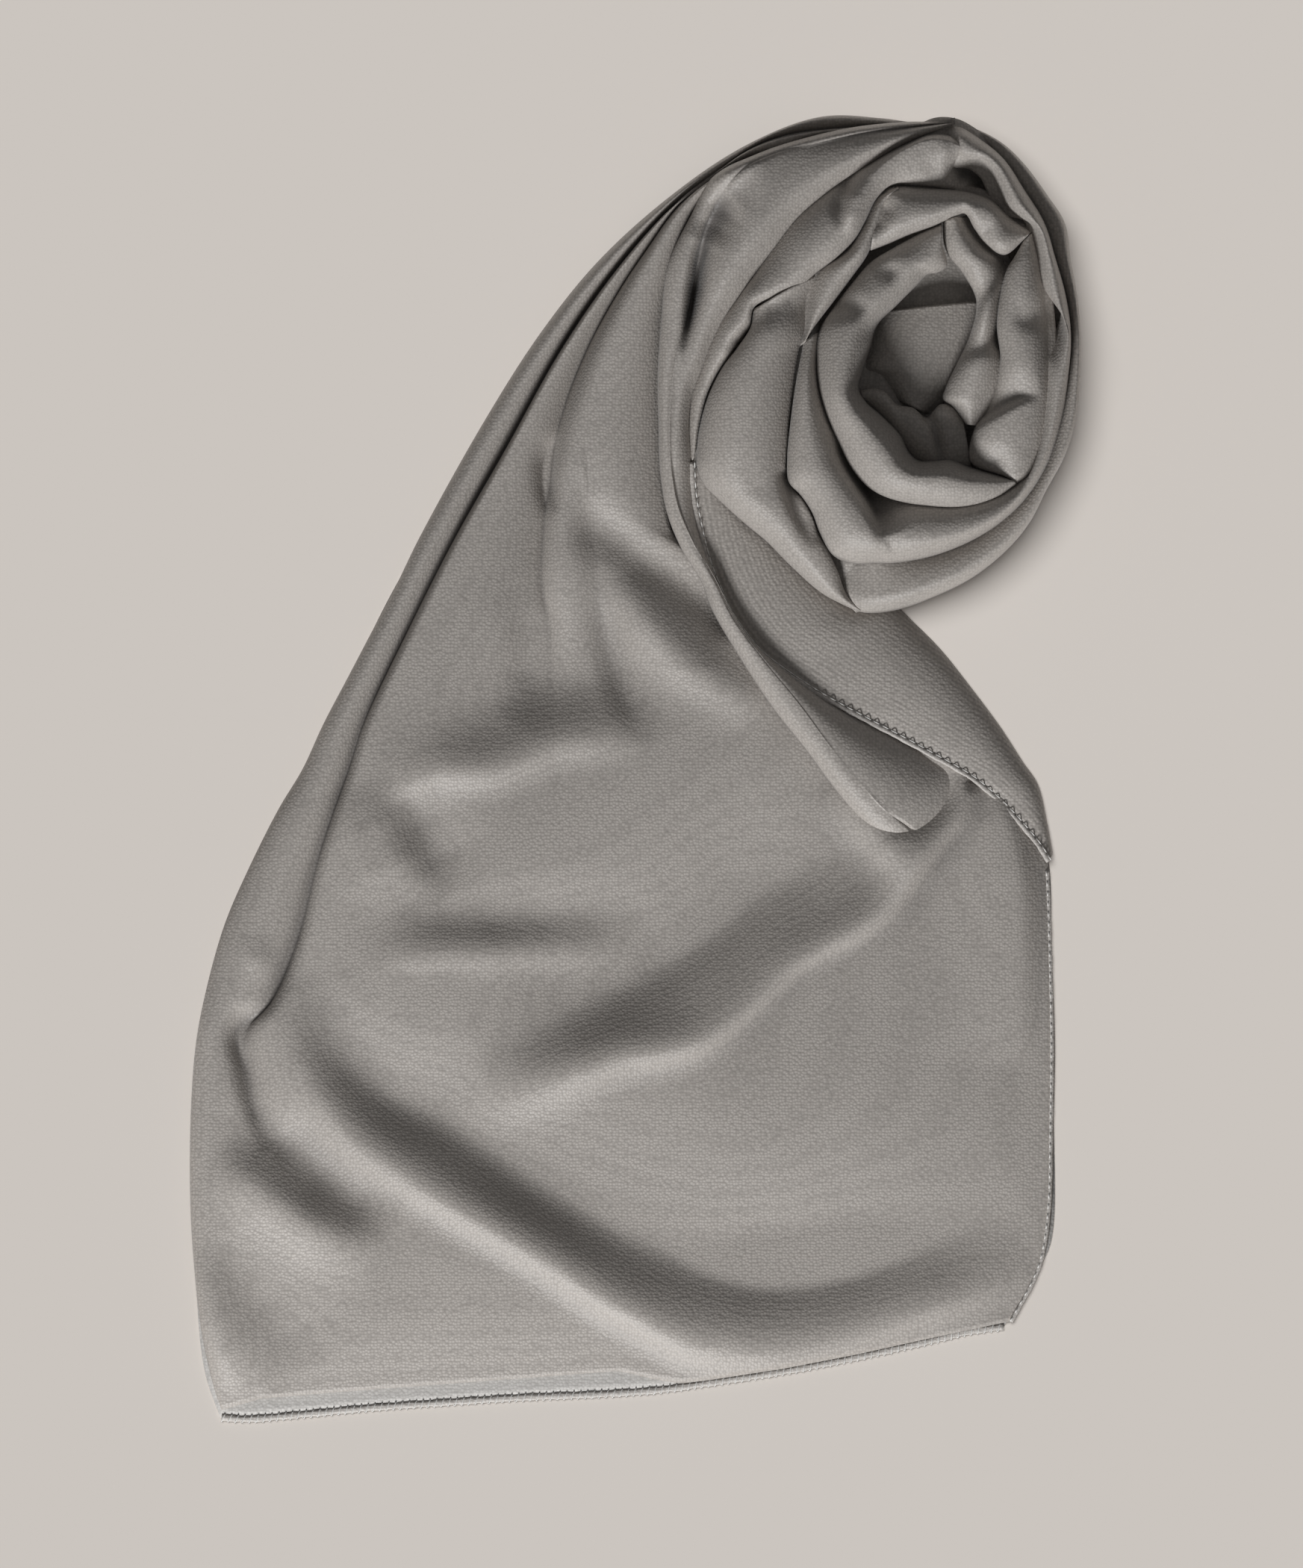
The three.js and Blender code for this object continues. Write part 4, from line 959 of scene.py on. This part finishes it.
hollow_fold_outer = rail([
    [98, 165, 20], [103, 166.3, 21], [109, 164.5, 23], [114, 159, 24], [121, 157.5, 25],
    [127, 153.5, 25], [133, 159, 26], [138, 158, 26], [143, 152, 26],
])
hollow_fold_inner = rail([
    [99, 160, 19], [104, 156, 21], [112, 147, 22], [121, 136, 23], [132, 133, 25], [146, 134, 26],
])
HOLLOW_FOLD_FOLDS = [{"crest": [25, 29, 31, 31, 29], "crest_at": 0.35, "roll_left": 1, "roll_right": 0.2}]
HOLLOW_CREASES = [
    {
        "height": [-3, -4, -4, -2], "left": [3], "right": [2],
        "line": [[127, 154], [130, 148], [132, 141], [133, 134]],
    },
]
lay("hollow_fold_cloth", cloth_face(
    [hollow_fold_outer, hollow_fold_inner], HOLLOW_FOLD_FOLDS, HOLLOW_CREASES, step=1.1,
    left=("turn", 1.2, 1.5), right=("tuck", 3, 2),
), ["hollow_fold"])


# The broad fold that sweeps from the coil's top down the neck and drapes over the fan.
# Its left edge is folded over once more as a narrow strip, with a slit that opens beside it.
FLAP_HEM = [
    [180.5, -40, 5], [176, -33, 6], [172, -28, 6], [165, -20, 7], [157, -12, 7], [148, -4.5, 8],
    [140, 0.5, 8], [130, 6, 8.5], [120, 11.5, 9], [100, 22, 10.5], [80, 33, 12], [60, 46.5, 12.5],
    [53, 52.5, 12.5], [47, 60, 12.5], [41, 69, 12.5], [36, 80, 12.5], [31.5, 92, 12.8], [28, 106, 13.4],
    [25.5, 120, 14], [24.8, 134, 15],
]
sweep_left = rail([
    [122, -46, 4], [118, -38, 7], [113, -32, 9], [104, -26.5, 9], [96, -19, 9], [86, -7, 9],
    [75, 8, 9], [60, 27, 9], [45, 50, 9], [33, 71, 9], [29, 82, 9], [20, 97, 10], [14, 112, 10],
    [11, 130, 11], [10.3, 150, 12], [10, 173, 15], [11.5, 195, 20], [14.5, 220, 23], [24.5, 241.6, 25],
    [32, 256, 26], [40, 262, 27], [49, 266, 27], [60, 270.5, 27], [75, 275, 27], [92, 279, 25],
    [106, 281, 20.5], [119, 282, 19.5], [139, 281.7, 19.5],
])
slit_line = rail([
    [130, -38, 4], [125.5, -31, 8.5], [119, -25, 12.6], [109, -17.5, 17.4], [98, -5.5, 19.4],
    [86, 9, 20.4], [72, 28, 20.5], [56, 48, 20], [43, 66, 19.5], [35, 82, 19], [26, 98, 20], [19, 114, 21],
    [16, 130, 23], [15, 150, 26], [16.5, 170, 28], [19, 184, 29], [22.5, 194, 27], [25, 207, 23.5],
    [27, 219, 23], [29, 229, 28], [33, 241, 36], [41, 254, 42], [50, 262, 43.5], [64, 268, 43.5],
    [80, 272, 42.5], [98, 276, 41], [119, 279, 38], [139, 281.2, 33],
])
sweep_right = rail([
    [146, -13, 3], *shifted(FLAP_HEM[6:], x=1, y=1, z=-3.5), *OVER_THE_TOP,
    [128, 276.5, 38], [139, 280.5, 36],
])
SWEEP_FOLDS = [
    {
        "crest": [6, 17, 20.3, 20.5, 20.4, 20, 19.5, 22, 26, 31, 37, 42, 43, 41, 36],
        "crest_at": [0.85, 0.85, 0.85, 0.85, 0.85, 0.85, 0.75, 0.65, 0.6, 0.6, 0.65, 0.8, 0.8, 0.8, 0.8],
        "roll_left": 1, "roll_right": 0.9,
    },
    {
        "crest": [6, 17.2, 20.1, 20.1, 20, 19.9, 19.6, 24, 28, 34, 42, 46, 46, 44, 38],
        "crest_at": [0.05, 0.05, 0.05, 0.05, 0.05, 0.05, 0.1, 0.3, 0.55, 0.6, 0.6, 0.6, 0.6, 0.5],
        "roll_left": 0.1, "roll_right": 0.2,
    },
]
SWEEP_CREASES = [
    {
        "height": [0, -4, -11, -14, -10, -3, 0],
        "left": [1.5, 2, 2.6, 2.6, 2], "right": [1.2, 1.8, 2.6, 2.6, 2],
        "line": [[20.5, 181], [22.8, 192], [25, 203], [27, 214], [28.5, 223], [30.5, 232], [33, 240]],
    },
    {
        "height": [-2, -7, -8, -3], "left": [9], "right": [9],
        "line": [[31, 229], [34, 236], [38, 243], [43, 248]],
    },
    {
        "height": [0, 4, 3, 0], "left": [5], "right": [7],
        "line": [[32, 253], [40, 260], [49, 265], [57, 268]],
    },
]
lay("sweep_cloth", cloth_face(
    [sweep_left, slit_line, sweep_right], SWEEP_FOLDS, SWEEP_CREASES, step=1.4,
    left=("turn", 1.5, 1.5), right=("turn", 1.5, 1.5),
), ["sweep"])


# The right-hand edge of the cloth, folded over to the front, with its hem towards the drape.
# It is one sheer layer laid over another, held by the fold along its right side.
flap_hem_line = rail([*FLAP_HEM, [24.5, 147, 15.5]])
flap_fold_line = rail([
    [182.5, -36, 2], [180, -22.5, 2], [176, -6.2, 2], [169.5, 3.6, 2], [160, 18.3, 2],
    [146.7, 36.2, 2], [133.7, 52.5, 2], [122.3, 64, 2], [113, 72, 3], [102, 71.5, 5], [95, 72.5, 6],
    [83, 80, 7], [70.5, 91, 8], [59, 102.5, 9], [51, 109.5, 9], [40, 120, 10], [32, 129, 11],
    [31, 144, 13],
])
FLAP_FOLDS = [{
    "crest": [5, 9, 10.5, 12.5, 14, 14.5, 14.5, 15], "crest_at": 0.45, "roll_left": 0.6, "roll_right": 0.7,
}]
flap_grid = cloth_face(
    [flap_hem_line, flap_fold_line], FLAP_FOLDS, step=1.6, left=("turn", 0.6, 0.6), right=("turn", 1, 1),
)
# Two sheer layers lie on each other here, and their threads show as fine ribs.
RIB_GAP = 2.3
double_finish = cloth_finish("georgette over georgette", CLOTH_DARK, CLOTH_LIGHT, GRAIN_DEPTH, RIB_GAP)
lay("flap_cloth", flap_grid, ["flap"], finish=double_finish)


# The hems are rolled by hand, about two millimetres wide, and sewn down with a pale running thread.
# Along the bottom the thread winds over the roll, and on the other two it dips in and out beside it.
HEM_COLOURS = ((0.50, 0.47, 0.44, 1), (0.70, 0.665, 0.63, 1))
THREAD_COLOURS = ((0.80, 0.79, 0.77, 1), (0.90, 0.89, 0.87, 1))
THREAD_GRAIN = 0.05
hem_finish = cloth_finish("rolled hem", *HEM_COLOURS, grain_depth=GRAIN_DEPTH)
thread_finish = cloth_finish("sewing thread", *THREAD_COLOURS, grain_depth=THREAD_GRAIN)
HEM_WALL = 0.3
HEM_STEP = 1.1
HEM_SIDES = 12
# A hand-rolled hem is thicker here and thinner there, in two rhythms along it.
HEM_WAVES = ((0.1, 2.1, 0), (0.06, 0.83, 1))
THREAD_RADIUS = 0.26
THREAD_WALL = 0.1
THREAD_STEP = 0.4
THREAD_SIDES = 7
# The thread sinks this far into the roll, and its running stitches dip through the cloth.
THREAD_SINKS = 0.4
STITCH_HEIGHT = 0.9
STITCH_MIDDLE = 0.3
# Stitches are drawn a little closer or further apart every so often.
STITCH_DRIFT = 0.04
STITCH_DRIFT_LENGTH = 17
RIGHT_HEM = [
    [164.3, -241, 2.6], [174.6, -222, 2.6], [178, -212, 2.6], [180.8, -192, 2.6], [181.8, -153, 2.6],
    [182.2, -120, 2.6], [181.6, -88, 2.6], [180.6, -55, 2.6], [180.1, -44, 2.8],
]


def tube(line, radius, flatness, sides):
    """Rings of points round a line. The walls face outwards, and flatness makes the rings wide."""
    way = np.gradient(line, axis=0)
    way /= np.linalg.norm(way, axis=1)[:, None]
    side = np.cross(way, [0, 0, 1])
    side /= np.linalg.norm(side, axis=1)[:, None]
    up = np.cross(side, way)
    around = np.linspace(2 * np.pi, 0, sides + 1)
    return np.stack([
        line + radius[:, None] * (side * math.cos(a) * flatness + up * math.sin(a)) for a in around
    ], axis=1), side, up


def lay_hem(name, rows, node, roll=0.8, flatness=1.25, inward=0.0, pitch=4.4, wound=False):
    """A thin roll of cloth along a line, slightly uneven as hand rolling leaves it, with its thread.
    The pitch is from stitch to stitch, and inward moves the stitches off the roll to its left."""
    curve = rail(rows)
    length = curve[1][-1]
    line = on_rail(curve, np.linspace(0, 1, round(length / HEM_STEP) + 1))
    walked = np.linspace(0, length, len(line))
    waves = [size * np.sin(walked / wave + start) for size, wave, start in HEM_WAVES]
    radius = roll * sum(waves, start=1)
    grid, _, _ = tube(line, radius, flatness, HEM_SIDES)
    lay(name, grid, [node], wall=HEM_WALL, finish=hem_finish, held=None, closed=True)

    line = on_rail(curve, np.linspace(0, 1, round(length / THREAD_STEP) + 1))
    walked = np.linspace(0, length, len(line))
    radius = np.full(len(line), THREAD_RADIUS)
    _, side, up = tube(line, radius, 1, THREAD_SIDES)
    turn = 2 * np.pi * (walked / pitch + STITCH_DRIFT * np.sin(walked / STITCH_DRIFT_LENGTH))
    reach = roll + (1 - THREAD_SINKS) * THREAD_RADIUS
    if wound:
        line = line + reach * (side * (flatness * np.cos(turn))[:, None] + up * np.sin(turn)[:, None])
    else:
        line = line - side * inward
        line[:, 2] += STITCH_MIDDLE + STITCH_HEIGHT * np.sin(turn)
    grid, _, _ = tube(line, radius, 1, THREAD_SIDES)
    lay(name.replace("roll", "thread"), grid, [node], wall=THREAD_WALL, finish=thread_finish,
        held=None, closed=True)


lay_hem("bottom_hem_roll", BOTTOM_HEM, "bottom_hem", roll=0.6, flatness=2.2, pitch=3, wound=True)
lay_hem("right_hem_roll", RIGHT_HEM, "right_hem", roll=0.7, flatness=1.2, inward=0.4)
lay_hem("flap_hem_roll", shifted(FLAP_HEM, z=0.8), "flap_hem", inward=-1.3)


# The table: a plain pale surface, nearly matt, which isn't part of the scarf.
# The scarf lies on it, and its top is at height 0.
FLOOR_SIZE = 8
FLOOR_COLOUR = (0.85, 0.795, 0.742, 1)
FLOOR_ROUGHNESS = 0.9
FLOOR_SHINE = 0.1
bpy.ops.object.select_all(action="DESELECT")
bpy.ops.mesh.primitive_plane_add(size=FLOOR_SIZE, location=(0, 0, 0))
floor = bpy.context.object
floor.name = "table"
paint = bpy.data.materials.new("pale table")
paint.use_nodes = True
surface = paint.node_tree.nodes["Principled BSDF"]
surface.inputs["Base Color"].default_value = FLOOR_COLOUR
surface.inputs["Roughness"].default_value = FLOOR_ROUGHNESS
surface.inputs["Specular IOR Level"].default_value = FLOOR_SHINE
floor.data.materials.append(paint)


# Soft light falls on the cloth from the bottom of the picture, a little from the left. A second
# light, high and a little from the upper left, is for the table alone, which is evenly bright.
# Places are in metres, and the power is in watts for the lamp and watts per square metre for the sun.
KEY_PLACE = (-0.55, -2.0, 1.25)
KEY_POWER = 50
KEY_SHAPE = {"shape": "DISK", "size": 0.8}
TABLE_LIGHT_PLACE = (-0.6, 0.9, 3.7)
TABLE_LIGHT_POWER = 1.97
TABLE_LIGHT_SPREAD = math.radians(40)


def light_up(name, kind, place, power, table, settings):
    """A lamp that points at the scarf. INCLUDE lights the table alone, and EXCLUDE all but the table."""
    light_data = bpy.data.lights.new(name, kind)
    light_data.energy = power
    for setting, value in settings.items():
        setattr(light_data, setting, value)
    light = bpy.data.objects.new(name, light_data)
    light.location = place
    light.rotation_euler = (-Vector(place)).to_track_quat("-Z", "Y").to_euler()
    bpy.context.scene.collection.objects.link(light)
    lit = bpy.data.collections.new(name + " reaches")
    lit.objects.link(floor)
    lit.collection_objects[0].light_linking.link_state = table
    light.light_linking.receiver_collection = lit


light_up("key", "AREA", KEY_PLACE, KEY_POWER, "EXCLUDE", KEY_SHAPE)
light_up(
    "table light", "SUN", TABLE_LIGHT_PLACE, TABLE_LIGHT_POWER, "INCLUDE", {"angle": TABLE_LIGHT_SPREAD})


# A dim even light from the room, and colours shown as they are.
ROOM_LIGHT = (1.0, 0.99, 0.99, 1)
ROOM_STRENGTH = 0.1
world = bpy.data.worlds.new("room")
bpy.context.scene.world = world
world.use_nodes = True
world.node_tree.nodes["Background"].inputs["Color"].default_value = ROOM_LIGHT
world.node_tree.nodes["Background"].inputs["Strength"].default_value = ROOM_STRENGTH
bpy.context.scene.view_settings.view_transform = "Standard"
